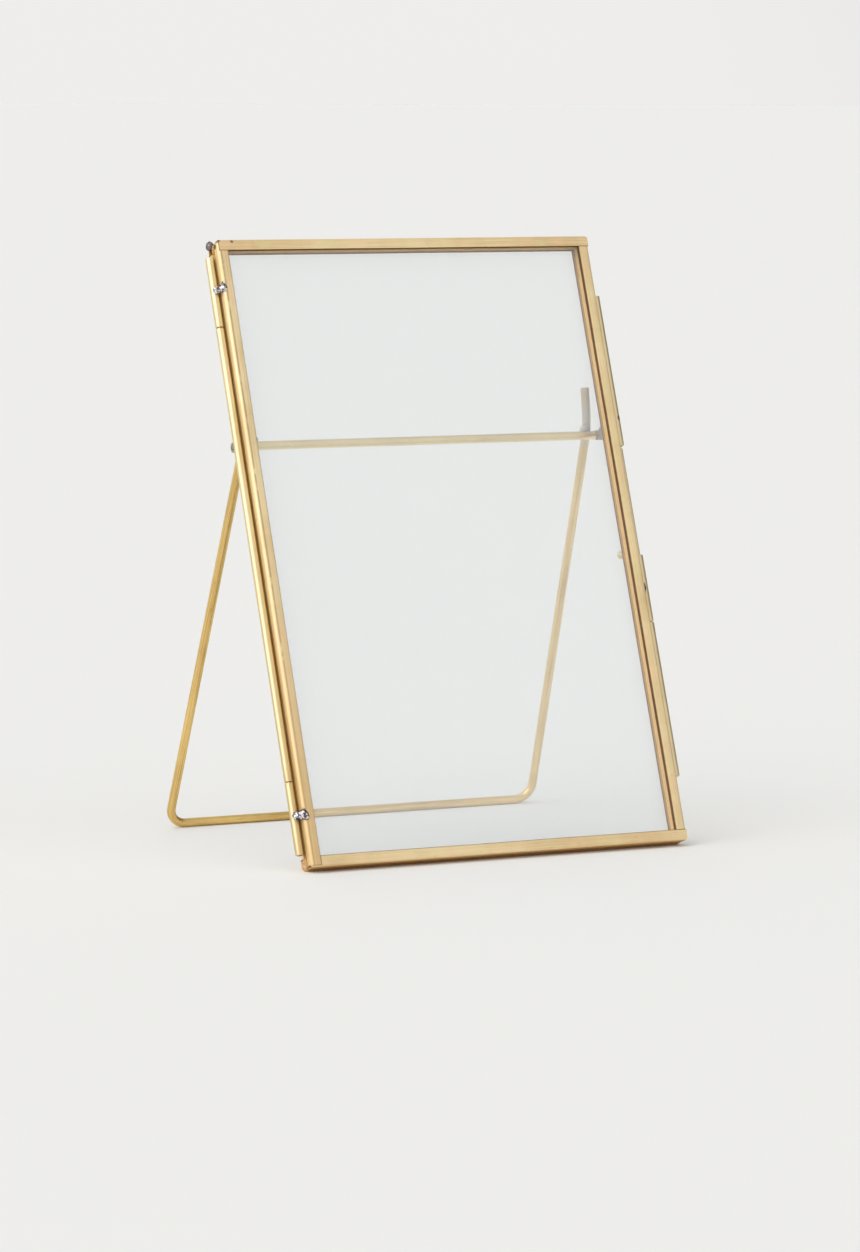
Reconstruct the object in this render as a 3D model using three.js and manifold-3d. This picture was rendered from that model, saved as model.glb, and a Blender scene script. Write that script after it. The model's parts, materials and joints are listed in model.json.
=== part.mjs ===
// Standing photo frame: two glass panes bound in brass channel, hinged like a book,
// closed by a sliding wire bolt and propped by a folding wire stand.
// Millimetres, +Z up, the front faces -Y. The origin is the middle of the footprint.

import * as THREE from 'three';
import { mergeVertices } from 'three/addons/utils/BufferGeometryUtils.js';
import Module from 'manifold-3d';

// Leaves: outer size, and the U-channel of folded sheet that binds each pane
const LEAF_WIDTH = 108.5;
const LEAF_HEIGHT = 165;
const LEAF_GAP = 0.3;
const LIP_WIDTH = 3;
const SHEET = 0.45;
const BEND_RADIUS = 0.9;
const CORNER_RADIUS = 0.9;
const BUTT_SEAM = 0.15;

// Glass
const PANE_THICKNESS = 1.5;
const PANE_FACE_PLAY = 0.15;
const PANE_EDGE_PLAY = 0.4;
const PANE_ARRIS = 0.25;

// Tubes along both sides, and the wire that runs in them
const TUBE_DIAMETER = 2.2;
const TUBE_CHAMFER = 0.15;
const TUBE_SETBACK = 0.3;
const TUBE_SIDE_GAP = 0.15;
const TUBE_END_GAP = 0.3;
const PIN_DIAMETER = 1;
const BORE_PLAY = 0.15;

// Hinge on the left side
const HINGE_FOOT_INSET = 3.8;
const HINGE_HEAD_INSET = 4.2;
const HINGE_END_LENGTH = 18.6;
const PIN_RECESS = 0.4;

// Bolt on the right side
const BOLT_FOOT_INSET = 17.6;
const BOLT_HEAD_INSET = 16.2;
const BOLT_SHORT_GUIDE = 18;
const BOLT_TRAVEL = 28;
const KNOB_STEM_DIAMETER = 1;
const KNOB_STEM_LENGTH = 7.9;
const KNOB_BALL_DIAMETER = 2.2;
const KNOB_TILT_DEGREES = 13;

// Stand
const LEAN_DEGREES = 20.2;
const LEG_DEGREES = 20.1;
const CROSSBAR_DROP = 53;
const CROSSBAR_DIAMETER = 2.3;
const PIVOT_DIAMETER = 1.2;
const EYELET_DIAMETER = 2.7;
const EYELET_STANDOFF = 2.2;
const EYELET_EDGE = 0.15;
const WIRE_DIAMETER = 2.3;
const WIRE_CUT_GAP = 0.25;
const FOOT_INSET = 0.1;
const FOOT_BEND = 3;
const KNEE_RISE = 1.6;
const KNEE_BEND = 25;
const STUB_RISE = 12.4;
const RIGHT_STUB_TOE_IN = 0.9;
const STOP_GAP = 0.2;

// Solder
const SOLDER_GAP = 0.1;
const BEAD_WIDTH = 2;
const BEAD_DEPTH = 2.6;
const BEAD_LENGTH = 2.8;
const LARGE_BEAD_LENGTH = 4;
const GUIDE_BEAD_WIDTH = 1.2;
const GUIDE_BEAD_DEPTH = 1.6;
const GUIDE_BEAD_LENGTH = 2.4;
const JOINT_SIZE = 3.4;
const MOUND_LENGTH = 3.6;

// Fineness of round forms
const BEND_STEPS = 5;
const TUBE_SIDES = 24;
const WIRE_SIDES = 16;
const BEAD_SIDES = 14;

// Sizes that follow from the ones above
const leafDepth = PANE_THICKNESS + 2 * (PANE_FACE_PLAY + SHEET);
const backStart = leafDepth + LEAF_GAP;
const backFace = backStart + leafDepth;
const backGlassFace = backFace - SHEET - PANE_FACE_PLAY;
const sideX = LEAF_WIDTH / 2;
const butt = LIP_WIDTH + BUTT_SEAM;
const wallSeat = SHEET + BUTT_SEAM;
const tubeX = sideX + TUBE_SIDE_GAP + TUBE_DIAMETER / 2;
const tubeY = leafDepth + LEAF_GAP / 2 + TUBE_SETBACK;
const boreDiameter = PIN_DIAMETER + 2 * BORE_PLAY;
const pivotBore = PIVOT_DIAMETER + 2 * BORE_PLAY;
const lean = THREE.MathUtils.degToRad(LEAN_DEGREES);
const legAngle = THREE.MathUtils.degToRad(LEG_DEGREES);
const knobTilt = THREE.MathUtils.degToRad(KNOB_TILT_DEGREES);

const AXIS_X = new THREE.Vector3(1, 0, 0);
const AXIS_Y = new THREE.Vector3(0, 1, 0);
const AXIS_Z = new THREE.Vector3(0, 0, 1);

const wasm = await Module();
wasm.setup();

// Finishes

function brass() {
  return new THREE.MeshStandardMaterial({ color: 0xd2b06f, roughness: 0.32, metalness: 1 });
}

function solder() {
  return new THREE.MeshStandardMaterial({ color: 0x9b9a94, roughness: 0.45, metalness: 1 });
}

function glass() {
  return new THREE.MeshStandardMaterial({
    color: 0xdfe8e4,
    roughness: 0.05,
    metalness: 0,
    transparent: true,
    opacity: 0.3,
  });
}

function piece(name, geometry, material) {
  const mesh = new THREE.Mesh(geometry, material);
  mesh.name = name;
  return mesh;
}

// Cutting and joining closed meshes

function solidOf(geometry) {
  const bare = geometry.clone();
  bare.deleteAttribute('normal');
  bare.deleteAttribute('uv');
  const merged = mergeVertices(bare, 1e-5);
  const mesh = new wasm.Mesh({
    numProp: 3,
    vertProperties: new Float32Array(merged.attributes.position.array),
    triVerts: new Uint32Array(merged.index.array),
  });
  return new wasm.Manifold(mesh);
}

function geometryOf(solid) {
  const mesh = solid.getMesh();
  const geometry = new THREE.BufferGeometry();
  geometry.setAttribute('position', new THREE.BufferAttribute(mesh.vertProperties, 3));
  geometry.setIndex(new THREE.BufferAttribute(mesh.triVerts, 1));
  geometry.computeVertexNormals();
  return geometry;
}

// Round stock, standing on z = 0 and centred on the Z axis

function revolved(points, sides) {
  const geometry = new THREE.LatheGeometry(points, sides);
  return geometry.rotateX(Math.PI / 2);
}

function tube(length, outer, bore) {
  const rim = outer / 2;
  const wall = bore / 2;
  return revolved([
    new THREE.Vector2(wall, 0),
    new THREE.Vector2(rim - TUBE_CHAMFER, 0),
    new THREE.Vector2(rim, TUBE_CHAMFER),
    new THREE.Vector2(rim, length - TUBE_CHAMFER),
    new THREE.Vector2(rim - TUBE_CHAMFER, length),
    new THREE.Vector2(wall, length),
    new THREE.Vector2(wall, 0),
  ], TUBE_SIDES);
}

function rod(length, diameter) {
  const rim = diameter / 2;
  return revolved([
    new THREE.Vector2(0, 0),
    new THREE.Vector2(rim - TUBE_CHAMFER, 0),
    new THREE.Vector2(rim, TUBE_CHAMFER),
    new THREE.Vector2(rim, length - TUBE_CHAMFER),
    new THREE.Vector2(rim - TUBE_CHAMFER, length),
    new THREE.Vector2(0, length),
  ], WIRE_SIDES);
}

// The folded channel: x runs inward from the leaf's edge, y from the front lip to the back lip

function channelProfile() {
  const inner = BEND_RADIUS - SHEET;
  const turnBack = leafDepth - BEND_RADIUS;
  const quarter = Math.PI / 2;
  const shape = new THREE.Shape();
  shape.moveTo(LIP_WIDTH, 0);
  shape.lineTo(LIP_WIDTH, SHEET);
  shape.lineTo(BEND_RADIUS, SHEET);
  shape.absarc(BEND_RADIUS, BEND_RADIUS, inner, -quarter, -2 * quarter, true);
  shape.lineTo(SHEET, turnBack);
  shape.absarc(BEND_RADIUS, turnBack, inner, 2 * quarter, quarter, true);
  shape.lineTo(LIP_WIDTH, leafDepth - SHEET);
  shape.lineTo(LIP_WIDTH, leafDepth);
  shape.lineTo(BEND_RADIUS, leafDepth);
  shape.absarc(BEND_RADIUS, turnBack, BEND_RADIUS, quarter, 2 * quarter, false);
  shape.lineTo(0, BEND_RADIUS);
  shape.absarc(BEND_RADIUS, BEND_RADIUS, BEND_RADIUS, 2 * quarter, 3 * quarter, false);
  shape.closePath();
  return shape;
}

// A length of channel whose open side faces inward, starting at a corner of the leaf
function channel(length, inward, start) {
  const along = new THREE.Vector3().crossVectors(inward, AXIS_Y);
  const geometry = new THREE.ExtrudeGeometry(channelProfile(), {
    depth: length,
    bevelEnabled: false,
    curveSegments: BEND_STEPS,
  });
  const turn = new THREE.Matrix4().makeBasis(inward, AXIS_Y, along);
  return geometry.applyMatrix4(turn.setPosition(start));
}

// A block with the leaf's outline, to round off the outer corners of the channels
function leafOutline() {
  const reach = CORNER_RADIUS;
  const shape = new THREE.Shape();
  shape.absarc(sideX - reach, reach, reach, -Math.PI / 2, 0, false);
  shape.absarc(sideX - reach, LEAF_HEIGHT - reach, reach, 0, Math.PI / 2, false);
  shape.absarc(reach - sideX, LEAF_HEIGHT - reach, reach, Math.PI / 2, Math.PI, false);
  shape.absarc(reach - sideX, reach, reach, Math.PI, 1.5 * Math.PI, false);
  shape.closePath();
  const block = new THREE.ExtrudeGeometry(shape, {
    depth: 3 * leafDepth,
    bevelEnabled: false,
    curveSegments: BEND_STEPS,
  });
  block.rotateX(Math.PI / 2);
  return solidOf(block.translate(0, 2 * leafDepth, 0));
}

function roundedChannel(length, inward, start) {
  return solidOf(channel(length, inward, start)).intersect(leafOutline());
}

// A block that takes the lips off a channel at a corner of the leaf and leaves its wall
function notch(x, z) {
  const block = new THREE.BoxGeometry(2 * butt, 4 * leafDepth, 2 * butt);
  return solidOf(block.translate(x, 0, z));
}

function pane() {
  const width = LEAF_WIDTH - 2 * (SHEET + PANE_EDGE_PLAY + PANE_ARRIS);
  const height = LEAF_HEIGHT - 2 * (SHEET + PANE_EDGE_PLAY + PANE_ARRIS);
  const shape = new THREE.Shape();
  shape.moveTo(-width / 2, -height / 2);
  shape.lineTo(width / 2, -height / 2);
  shape.lineTo(width / 2, height / 2);
  shape.lineTo(-width / 2, height / 2);
  shape.closePath();
  const sheet = new THREE.ExtrudeGeometry(shape, {
    depth: PANE_THICKNESS - 2 * PANE_ARRIS,
    bevelSize: PANE_ARRIS,
    bevelThickness: PANE_ARRIS,
    bevelSegments: 1,
  });
  sheet.rotateX(Math.PI / 2);
  const back = SHEET + PANE_FACE_PLAY + PANE_THICKNESS - PANE_ARRIS;
  return sheet.translate(0, back, LEAF_HEIGHT / 2);
}

// The four channels of a leaf; side is -1 at the left, 1 at the right

function topChannel(longSide) {
  const length = LEAF_WIDTH - wallSeat;
  const start = longSide < 0 ? wallSeat - sideX : -sideX;
  return roundedChannel(length, AXIS_Z.clone().negate(), new THREE.Vector3(start, 0, LEAF_HEIGHT));
}

function bottomChannel(longSide) {
  const full = roundedChannel(LEAF_WIDTH, AXIS_Z, new THREE.Vector3(sideX, 0, 0));
  return full.subtract(notch(longSide * sideX, SHEET + butt));
}

function sideChannel(side, foot, head) {
  const inward = AXIS_X.clone().multiplyScalar(-side);
  const start = new THREE.Vector3(side * sideX, 0, side < 0 ? foot : head);
  return roundedChannel(head - foot, inward, start);
}

function longSideChannel(side) {
  const full = sideChannel(side, wallSeat, LEAF_HEIGHT - SHEET);
  return full.subtract(notch(side * (sideX - SHEET - butt), LEAF_HEIGHT));
}

function shortSideChannel(side) {
  return sideChannel(side, butt, LEAF_HEIGHT - butt);
}

// One glazed leaf. The long side channel stands in a notch of the bottom one, and its wall runs on up
// to close the end of the top one. The short side channel butts between the lips of both.
function leaf(prefix, longSide) {
  const left = longSide < 0 ? longSideChannel(-1) : shortSideChannel(-1);
  const right = longSide > 0 ? longSideChannel(1) : shortSideChannel(1);
  const group = new THREE.Group();
  group.add(
    piece(`${prefix}_glass`, pane(), glass()),
    piece(`${prefix}_top_channel`, geometryOf(topChannel(longSide)), brass()),
    piece(`${prefix}_bottom_channel`, geometryOf(bottomChannel(longSide)), brass()),
    piece(`${prefix}_left_channel`, geometryOf(left), brass()),
    piece(`${prefix}_right_channel`, geometryOf(right), brass()),
  );
  return group;
}

// A tube of the hinge or the bolt, upright beside the leaves; side is -1 at the left, 1 at the right
function sideTube(name, side, foot, length) {
  const mesh = piece(name, tube(length, TUBE_DIAMETER, boreDiameter), brass());
  mesh.position.set(side * tubeX, tubeY, foot);
  return mesh;
}

// A solder bead in the crevice between a side tube and a leaf: facing is -1 in front of the tube, 1 behind it
function sideBead(name, side, facing, height, size) {
  const bead = new THREE.SphereGeometry(0.5, BEAD_SIDES, BEAD_SIDES);
  const forward = facing * (TUBE_DIAMETER / 2 + size.y / 4);
  const middle = sideX + size.x / 3;
  bead.rotateX(Math.PI / 2);
  bead.scale(size.x, size.y, size.z);
  bead.translate(side * middle, tubeY + forward, height);
  const wall = new THREE.BoxGeometry(LEAF_WIDTH + 2 * SOLDER_GAP, 4 * backFace, LEAF_HEIGHT);
  wall.translate(0, 0, LEAF_HEIGHT / 2);
  const clear = TUBE_DIAMETER / 2 + SOLDER_GAP;
  const stock = new THREE.CylinderGeometry(clear, clear, LEAF_HEIGHT, TUBE_SIDES);
  stock.rotateX(Math.PI / 2);
  stock.translate(side * tubeX, tubeY, LEAF_HEIGHT / 2);
  const cut = solidOf(bead).subtract(solidOf(wall)).subtract(solidOf(stock));
  return piece(name, geometryOf(cut), solder());
}

const smallBead = new THREE.Vector3(BEAD_WIDTH, BEAD_DEPTH, BEAD_LENGTH);
const largeBead = new THREE.Vector3(BEAD_WIDTH, BEAD_DEPTH, LARGE_BEAD_LENGTH);
const guideBead = new THREE.Vector3(GUIDE_BEAD_WIDTH, GUIDE_BEAD_DEPTH, GUIDE_BEAD_LENGTH);

// Hinge: end tubes on the front leaf, the long middle tube on the back leaf, one pin through all

function hinge() {
  const middleFoot = HINGE_FOOT_INSET + HINGE_END_LENGTH + TUBE_END_GAP;
  const topFoot = LEAF_HEIGHT - HINGE_HEAD_INSET - HINGE_END_LENGTH;
  const middleLength = topFoot - TUBE_END_GAP - middleFoot;
  const beadRise = HINGE_END_LENGTH / 2;
  const pinFoot = HINGE_FOOT_INSET + PIN_RECESS;
  const pinLength = LEAF_HEIGHT - HINGE_HEAD_INSET - PIN_RECESS - pinFoot;
  const pin = piece('hinge_pin', rod(pinLength, PIN_DIAMETER), brass());
  pin.position.set(-tubeX, tubeY, pinFoot);
  const group = new THREE.Group();
  group.add(
    sideTube('hinge_tube_bottom', -1, HINGE_FOOT_INSET, HINGE_END_LENGTH),
    sideTube('hinge_tube_middle', -1, middleFoot, middleLength),
    sideTube('hinge_tube_top', -1, topFoot, HINGE_END_LENGTH),
    pin,
    sideBead('hinge_solder_bottom', -1, -1, HINGE_FOOT_INSET + beadRise, largeBead),
    sideBead('hinge_solder_top', -1, -1, topFoot + beadRise, smallBead),
    sideBead('hinge_solder_middle_lower', -1, 1, middleFoot + beadRise, largeBead),
    sideBead('hinge_solder_middle_upper', -1, 1, middleFoot + middleLength - beadRise, largeBead),
  );
  return group;
}

// Bolt: a rod in two guide tubes on the front leaf, pushed up into the keeper tube on the back leaf

function knob() {
  const stem = KNOB_STEM_DIAMETER / 2;
  const ball = KNOB_BALL_DIAMETER / 2;
  const centre = KNOB_STEM_LENGTH + Math.sqrt(ball * ball - stem * stem);
  const first = Math.PI - Math.asin(stem / ball);
  const points = [new THREE.Vector2(0, 0), new THREE.Vector2(stem, 0)];
  for (let i = 0; i < BEAD_SIDES; i += 1) {
    const angle = first * (1 - i / BEAD_SIDES);
    points.push(new THREE.Vector2(ball * Math.sin(angle), centre + ball * Math.cos(angle)));
  }
  points.push(new THREE.Vector2(0, centre + ball));
  return revolved(points, WIRE_SIDES).rotateX(knobTilt - Math.PI / 2);
}

function bolt() {
  const slot = BOLT_TRAVEL + 2 * KNOB_STEM_DIAMETER;
  const stack = BOLT_FOOT_INSET + BOLT_SHORT_GUIDE + TUBE_END_GAP + slot + BOLT_HEAD_INSET;
  const longLength = (LEAF_HEIGHT - stack) / 2;
  const shortFoot = BOLT_FOOT_INSET + longLength + TUBE_END_GAP;
  const slotFoot = shortFoot + BOLT_SHORT_GUIDE;
  const keeperFoot = slotFoot + slot;
  const rodFoot = BOLT_FOOT_INSET + PIN_RECESS;
  const rodLength = keeperFoot - 2 * TUBE_END_GAP - rodFoot;
  const stick = piece('bolt_rod', rod(rodLength, PIN_DIAMETER), brass());
  stick.position.set(tubeX, tubeY, rodFoot);
  const grip = piece('bolt_knob', knob(), brass());
  const gripReach = KNOB_STEM_DIAMETER / 2 * Math.sin(knobTilt);
  const gripY = tubeY + PIN_DIAMETER / 2 + SOLDER_GAP + gripReach;
  grip.position.set(tubeX, gripY, slotFoot + KNOB_STEM_DIAMETER);
  const group = new THREE.Group();
  group.add(
    sideTube('bolt_guide_long', 1, BOLT_FOOT_INSET, longLength),
    sideTube('bolt_guide_short', 1, shortFoot, BOLT_SHORT_GUIDE),
    sideTube('bolt_keeper', 1, keeperFoot, longLength),
    stick,
    grip,
    sideBead('guide_solder_long', 1, -1, BOLT_FOOT_INSET + longLength / 2, guideBead),
    sideBead('guide_solder_short', 1, -1, shortFoot + BOLT_SHORT_GUIDE / 2, guideBead),
    sideBead('keeper_solder', 1, 1, keeperFoot + longLength / 2, largeBead),
  );
  return group;
}

// Stand. The crossbar turns in two eyelets; the legs are soldered behind it.

const pivotY = backFace + EYELET_STANDOFF + EYELET_DIAMETER / 2;
const pivotZ = LEAF_HEIGHT - CROSSBAR_DROP;
const legInset = LIP_WIDTH + WIRE_CUT_GAP + WIRE_DIAMETER / 2;
const barEnd = legInset - WIRE_DIAMETER / 2 - WIRE_CUT_GAP;
const eyeletLength = barEnd - TUBE_END_GAP - EYELET_EDGE;

function eyelet(name, side) {
  const geometry = tube(eyeletLength, EYELET_DIAMETER, pivotBore).rotateY(Math.PI / 2);
  const mesh = piece(name, geometry, brass());
  const start = side < 0 ? EYELET_EDGE - sideX : sideX - EYELET_EDGE - eyeletLength;
  mesh.position.set(start, pivotY, pivotZ);
  return mesh;
}

// The solder that carries an eyelet on the back lip of its side channel
function eyeletMound(name, side) {
  const mound = new THREE.SphereGeometry(0.5, BEAD_SIDES, BEAD_SIDES);
  mound.scale(eyeletLength, 2 * (EYELET_STANDOFF + EYELET_DIAMETER / 2), MOUND_LENGTH);
  mound.translate(side * (sideX - EYELET_EDGE - eyeletLength / 2), backFace, pivotZ);
  const lip = new THREE.BoxGeometry(LEAF_WIDTH, 2 * backFace, LEAF_HEIGHT);
  lip.translate(0, SOLDER_GAP, LEAF_HEIGHT / 2);
  const clear = EYELET_DIAMETER / 2 + SOLDER_GAP;
  const stock = new THREE.CylinderGeometry(clear, clear, 2 * LEAF_WIDTH, TUBE_SIDES);
  stock.rotateZ(Math.PI / 2);
  stock.translate(0, pivotY, pivotZ);
  const cut = solidOf(mound).subtract(solidOf(lip)).subtract(solidOf(stock));
  return piece(name, geometryOf(cut), solder());
}

// Wire bent through a row of corners: straight runs, and a round bend of its own radius at each corner
class WirePath extends THREE.Curve {
  constructor(corners, bends) {
    super();
    this.stations = [];
    corners.forEach((corner, i) => {
      const next = corners[Math.min(i + 1, corners.length - 1)];
      const last = corners[Math.max(i - 1, 0)];
      const inward = corner.clone().sub(last).normalize();
      const outward = next.clone().sub(corner).normalize();
      const isEnd = i === 0 || i === corners.length - 1;
      if (isEnd) {
        this.stations.push({ point: corner, tangent: i === 0 ? outward : inward });
      } else {
        this.addBend(corner, inward, outward, bends[i - 1]);
      }
    });
  }

  addBend(corner, inward, outward, radius) {
    const turn = inward.angleTo(outward);
    const across = outward.clone().addScaledVector(inward, -outward.dot(inward)).normalize();
    const start = corner.clone().addScaledVector(inward, -radius * Math.tan(turn / 2));
    for (let k = 0; k <= BEND_STEPS; k += 1) {
      const angle = turn * k / BEND_STEPS;
      const point = start.clone();
      point.addScaledVector(inward, radius * Math.sin(angle));
      point.addScaledVector(across, radius * (1 - Math.cos(angle)));
      const tangent = inward.clone().multiplyScalar(Math.cos(angle));
      tangent.addScaledVector(across, Math.sin(angle));
      this.stations.push({ point, tangent });
    }
  }

  get steps() {
    return this.stations.length - 1;
  }

  getPointAt(share, target = new THREE.Vector3()) {
    return target.copy(this.stations[Math.round(share * this.steps)].point);
  }

  getTangentAt(share, target = new THREE.Vector3()) {
    return target.copy(this.stations[Math.round(share * this.steps)].tangent);
  }

  // The section keeps one side turned to the back all along the wire
  computeFrenetFrames() {
    const tangents = this.stations.map((station) => station.tangent);
    const binormals = tangents.map((t) => AXIS_Y.clone().addScaledVector(t, -AXIS_Y.dot(t)).normalize());
    const normals = tangents.map((t, i) => new THREE.Vector3().crossVectors(binormals[i], t));
    return { tangents, normals, binormals };
  }
}

// A round section drawn with flats, one of which lies on the table under the foot
function wireSection() {
  const shape = new THREE.Shape();
  const reach = WIRE_DIAMETER / 2 / Math.cos(Math.PI / WIRE_SIDES);
  for (let i = 0; i < WIRE_SIDES; i += 1) {
    const angle = (2 * i + 1) * Math.PI / WIRE_SIDES - legAngle;
    if (i === 0) {
      shape.moveTo(reach * Math.cos(angle), reach * Math.sin(angle));
    } else {
      shape.lineTo(reach * Math.cos(angle), reach * Math.sin(angle));
    }
  }
  shape.closePath();
  return shape;
}

// The lowest edge of the back leaf, seen along X, lies on the bend of the bottom channel
const leafLift = BEND_RADIUS * (1 - Math.cos(lean)) + (backFace - BEND_RADIUS) * Math.sin(lean);
const pivotRise = pivotZ * Math.cos(lean) - pivotY * Math.sin(lean) + leafLift;
const pivotBack = pivotZ * Math.sin(lean) + pivotY * Math.cos(lean);
const legOffset = (CROSSBAR_DIAMETER + WIRE_DIAMETER) / 2 + SOLDER_GAP;
const legDrop = pivotRise - WIRE_DIAMETER / 2 + legOffset * Math.sin(legAngle);
const legLength = legDrop / Math.cos(legAngle);
const legX = sideX - legInset;
const footX = sideX - FOOT_INSET;
const splay = (footX - legX) / (legLength + KNEE_RISE);

// The stub above the crossbar leans on the back pane and stops the stand
function stubTip() {
  const open = lean + legAngle;
  const towardLeaf = backGlassFace + WIRE_DIAMETER / 2 + STOP_GAP - pivotY;
  const y = towardLeaf * Math.cos(open) + STUB_RISE * Math.sin(open);
  const z = STUB_RISE * Math.cos(open) - towardLeaf * Math.sin(open);
  return { y, z };
}

function legWire() {
  const tip = stubTip();
  const corners = [
    new THREE.Vector3(-legX, tip.y, tip.z),
    new THREE.Vector3(-legX, legOffset, KNEE_RISE),
    new THREE.Vector3(-footX, legOffset, -legLength),
    new THREE.Vector3(footX, legOffset, -legLength),
    new THREE.Vector3(legX, legOffset, KNEE_RISE),
    new THREE.Vector3(legX - RIGHT_STUB_TOE_IN, tip.y, tip.z),
  ];
  const path = new WirePath(corners, [KNEE_BEND, FOOT_BEND, FOOT_BEND, KNEE_BEND]);
  const wire = new THREE.ExtrudeGeometry(wireSection(), { steps: path.steps, extrudePath: path });
  return piece('stand_leg_wire', wire, brass());
}

// Solder round the crossing of a leg and the crossbar
function legJoint(name, side) {
  const joint = new THREE.SphereGeometry(JOINT_SIZE / 2, BEAD_SIDES, BEAD_SIDES);
  joint.scale(1, 0.5, 1);
  joint.translate(side * legX, CROSSBAR_DIAMETER / 2, 0);
  const barReach = CROSSBAR_DIAMETER / 2 + SOLDER_GAP;
  const bar = new THREE.CylinderGeometry(barReach, barReach, LEAF_WIDTH, TUBE_SIDES);
  bar.rotateZ(Math.PI / 2);
  const wireReach = WIRE_DIAMETER / 2 / Math.cos(Math.PI / WIRE_SIDES) + SOLDER_GAP;
  const leg = new THREE.CylinderGeometry(wireReach, wireReach, 2 * legLength, TUBE_SIDES);
  leg.rotateX(Math.PI / 2);
  leg.rotateY(-side * Math.atan(splay));
  leg.translate(side * legX, legOffset, KNEE_RISE);
  const cut = solidOf(joint).subtract(solidOf(bar)).subtract(solidOf(leg));
  return piece(name, geometryOf(cut), solder());
}

function stand() {
  const barLength = LEAF_WIDTH - 2 * barEnd;
  const bar = tube(barLength, CROSSBAR_DIAMETER, pivotBore).rotateY(Math.PI / 2);
  const crossbar = piece('stand_crossbar', bar, brass());
  crossbar.position.x = -barLength / 2;
  const pivotLength = LEAF_WIDTH - 2 * (EYELET_EDGE + PIN_RECESS);
  const pivot = piece('stand_pivot_wire', rod(pivotLength, PIVOT_DIAMETER).rotateY(Math.PI / 2), brass());
  pivot.position.x = -pivotLength / 2;
  const group = new THREE.Group();
  group.add(
    crossbar,
    pivot,
    legWire(),
    legJoint('leg_solder_left', -1),
    legJoint('leg_solder_right', 1),
  );
  group.position.set(0, pivotBack, pivotRise);
  group.rotation.x = legAngle;
  return group;
}

// The whole frame: both leaves lean back together, the stand props them from behind.
// The leaves are alike when laid open, so closed the back one has its long side at the right.

const frontLeaf = leaf('front', -1);
const backLeaf = leaf('back', 1);
backLeaf.position.y = backStart;

const leaning = new THREE.Group();
leaning.add(
  frontLeaf,
  backLeaf,
  hinge(),
  bolt(),
  eyelet('stand_eyelet_left', -1),
  eyelet('stand_eyelet_right', 1),
  eyeletMound('eyelet_solder_left', -1),
  eyeletMound('eyelet_solder_right', 1),
);
leaning.rotation.x = -lean;
leaning.position.z = leafLift;

const photoFrame = new THREE.Group();
photoFrame.add(leaning, stand());
photoFrame.updateMatrixWorld(true);

const box = new THREE.Box3().setFromObject(photoFrame, true);
const middle = box.getCenter(new THREE.Vector3());
photoFrame.position.set(-middle.x, -middle.y, -box.min.z);

export default photoFrame;
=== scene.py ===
# %% [markdown]
# # A small brass photo frame
#
# Two panes of glass are bound in folded brass channel and hinged like a book. A wire bolt closes
# them, and a bent wire stand props them up from behind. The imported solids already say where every
# piece is. This lesson dresses them: finer surfaces, soft solder, worn brass, clear glass, a floor,
# light and a camera.

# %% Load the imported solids
import json

import bpy
import numpy as np
from mathutils import Matrix


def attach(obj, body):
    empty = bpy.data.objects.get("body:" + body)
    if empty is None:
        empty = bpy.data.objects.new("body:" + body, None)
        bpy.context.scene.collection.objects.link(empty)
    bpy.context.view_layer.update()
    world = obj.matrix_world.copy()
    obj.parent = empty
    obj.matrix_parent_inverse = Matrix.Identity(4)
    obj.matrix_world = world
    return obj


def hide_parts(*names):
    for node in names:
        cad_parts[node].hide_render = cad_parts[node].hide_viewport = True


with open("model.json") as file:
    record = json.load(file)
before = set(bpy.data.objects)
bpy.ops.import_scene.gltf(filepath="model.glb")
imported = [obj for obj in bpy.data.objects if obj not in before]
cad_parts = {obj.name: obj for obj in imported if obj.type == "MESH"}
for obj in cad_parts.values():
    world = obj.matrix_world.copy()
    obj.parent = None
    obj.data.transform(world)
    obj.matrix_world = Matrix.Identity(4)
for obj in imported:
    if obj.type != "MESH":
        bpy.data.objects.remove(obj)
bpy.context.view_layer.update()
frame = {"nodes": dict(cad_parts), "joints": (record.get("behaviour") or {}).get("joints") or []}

joints = {joint["name"]: joint for joint in frame["joints"]}

# %% [markdown]
# ## Two places to work in
#
# The leaves lean back, so it is easier to lay out their pieces flat: u runs to the right, v runs up
# the leaf and n runs from the front lip to the back. The stand has its own place, with the origin
# on its pivot. The joints say where both lie: the bolt slides along v, the hinge pin stands at a
# known corner of the leaf, and the stand turns about its pivot. Lengths are in millimetres until a
# mesh is made.

# %% Leaf and stand coordinates
MM = 0.001
LEAF_WIDTH, LEAF_HEIGHT, LEAF_DEPTH, LEAF_GAP = 108.5, 165.0, 2.7, 0.3
HALF = LEAF_WIDTH / 2
BACK_LEAF_N, FRAME_BACK = LEAF_DEPTH + LEAF_GAP, 2 * LEAF_DEPTH + LEAF_GAP
TUBE, TUBE_CLEARANCE, TUBE_SETBACK = 2.2, 0.15, 0.3
TUBE_U = HALF + TUBE_CLEARANCE + TUBE / 2
TUBE_N = LEAF_DEPTH + LEAF_GAP / 2 + TUBE_SETBACK
HINGE_FOOT, PIN_RECESS = 3.8, 0.4
LEG_TURN = np.radians(20.1)

ACROSS = np.array([1.0, 0.0, 0.0])
UP = np.array(joints["bolt_slide"]["axis"])
LEAF_AXES = np.stack([ACROSS, UP, np.cross(UP, ACROSS)])
pin_foot = np.array([-TUBE_U, HINGE_FOOT + PIN_RECESS, TUBE_N])
LEAF_ORIGIN = np.array(joints["leaf_hinge"]["pos_m"]) / MM - pin_foot @ LEAF_AXES
PIVOT = np.array(joints["stand_fold"]["pos_m"]) / MM
STAND_AXES = np.array([
    [1.0, 0.0, 0.0],
    [0.0, np.cos(LEG_TURN), np.sin(LEG_TURN)],
    [0.0, -np.sin(LEG_TURN), np.cos(LEG_TURN)],
])


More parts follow.
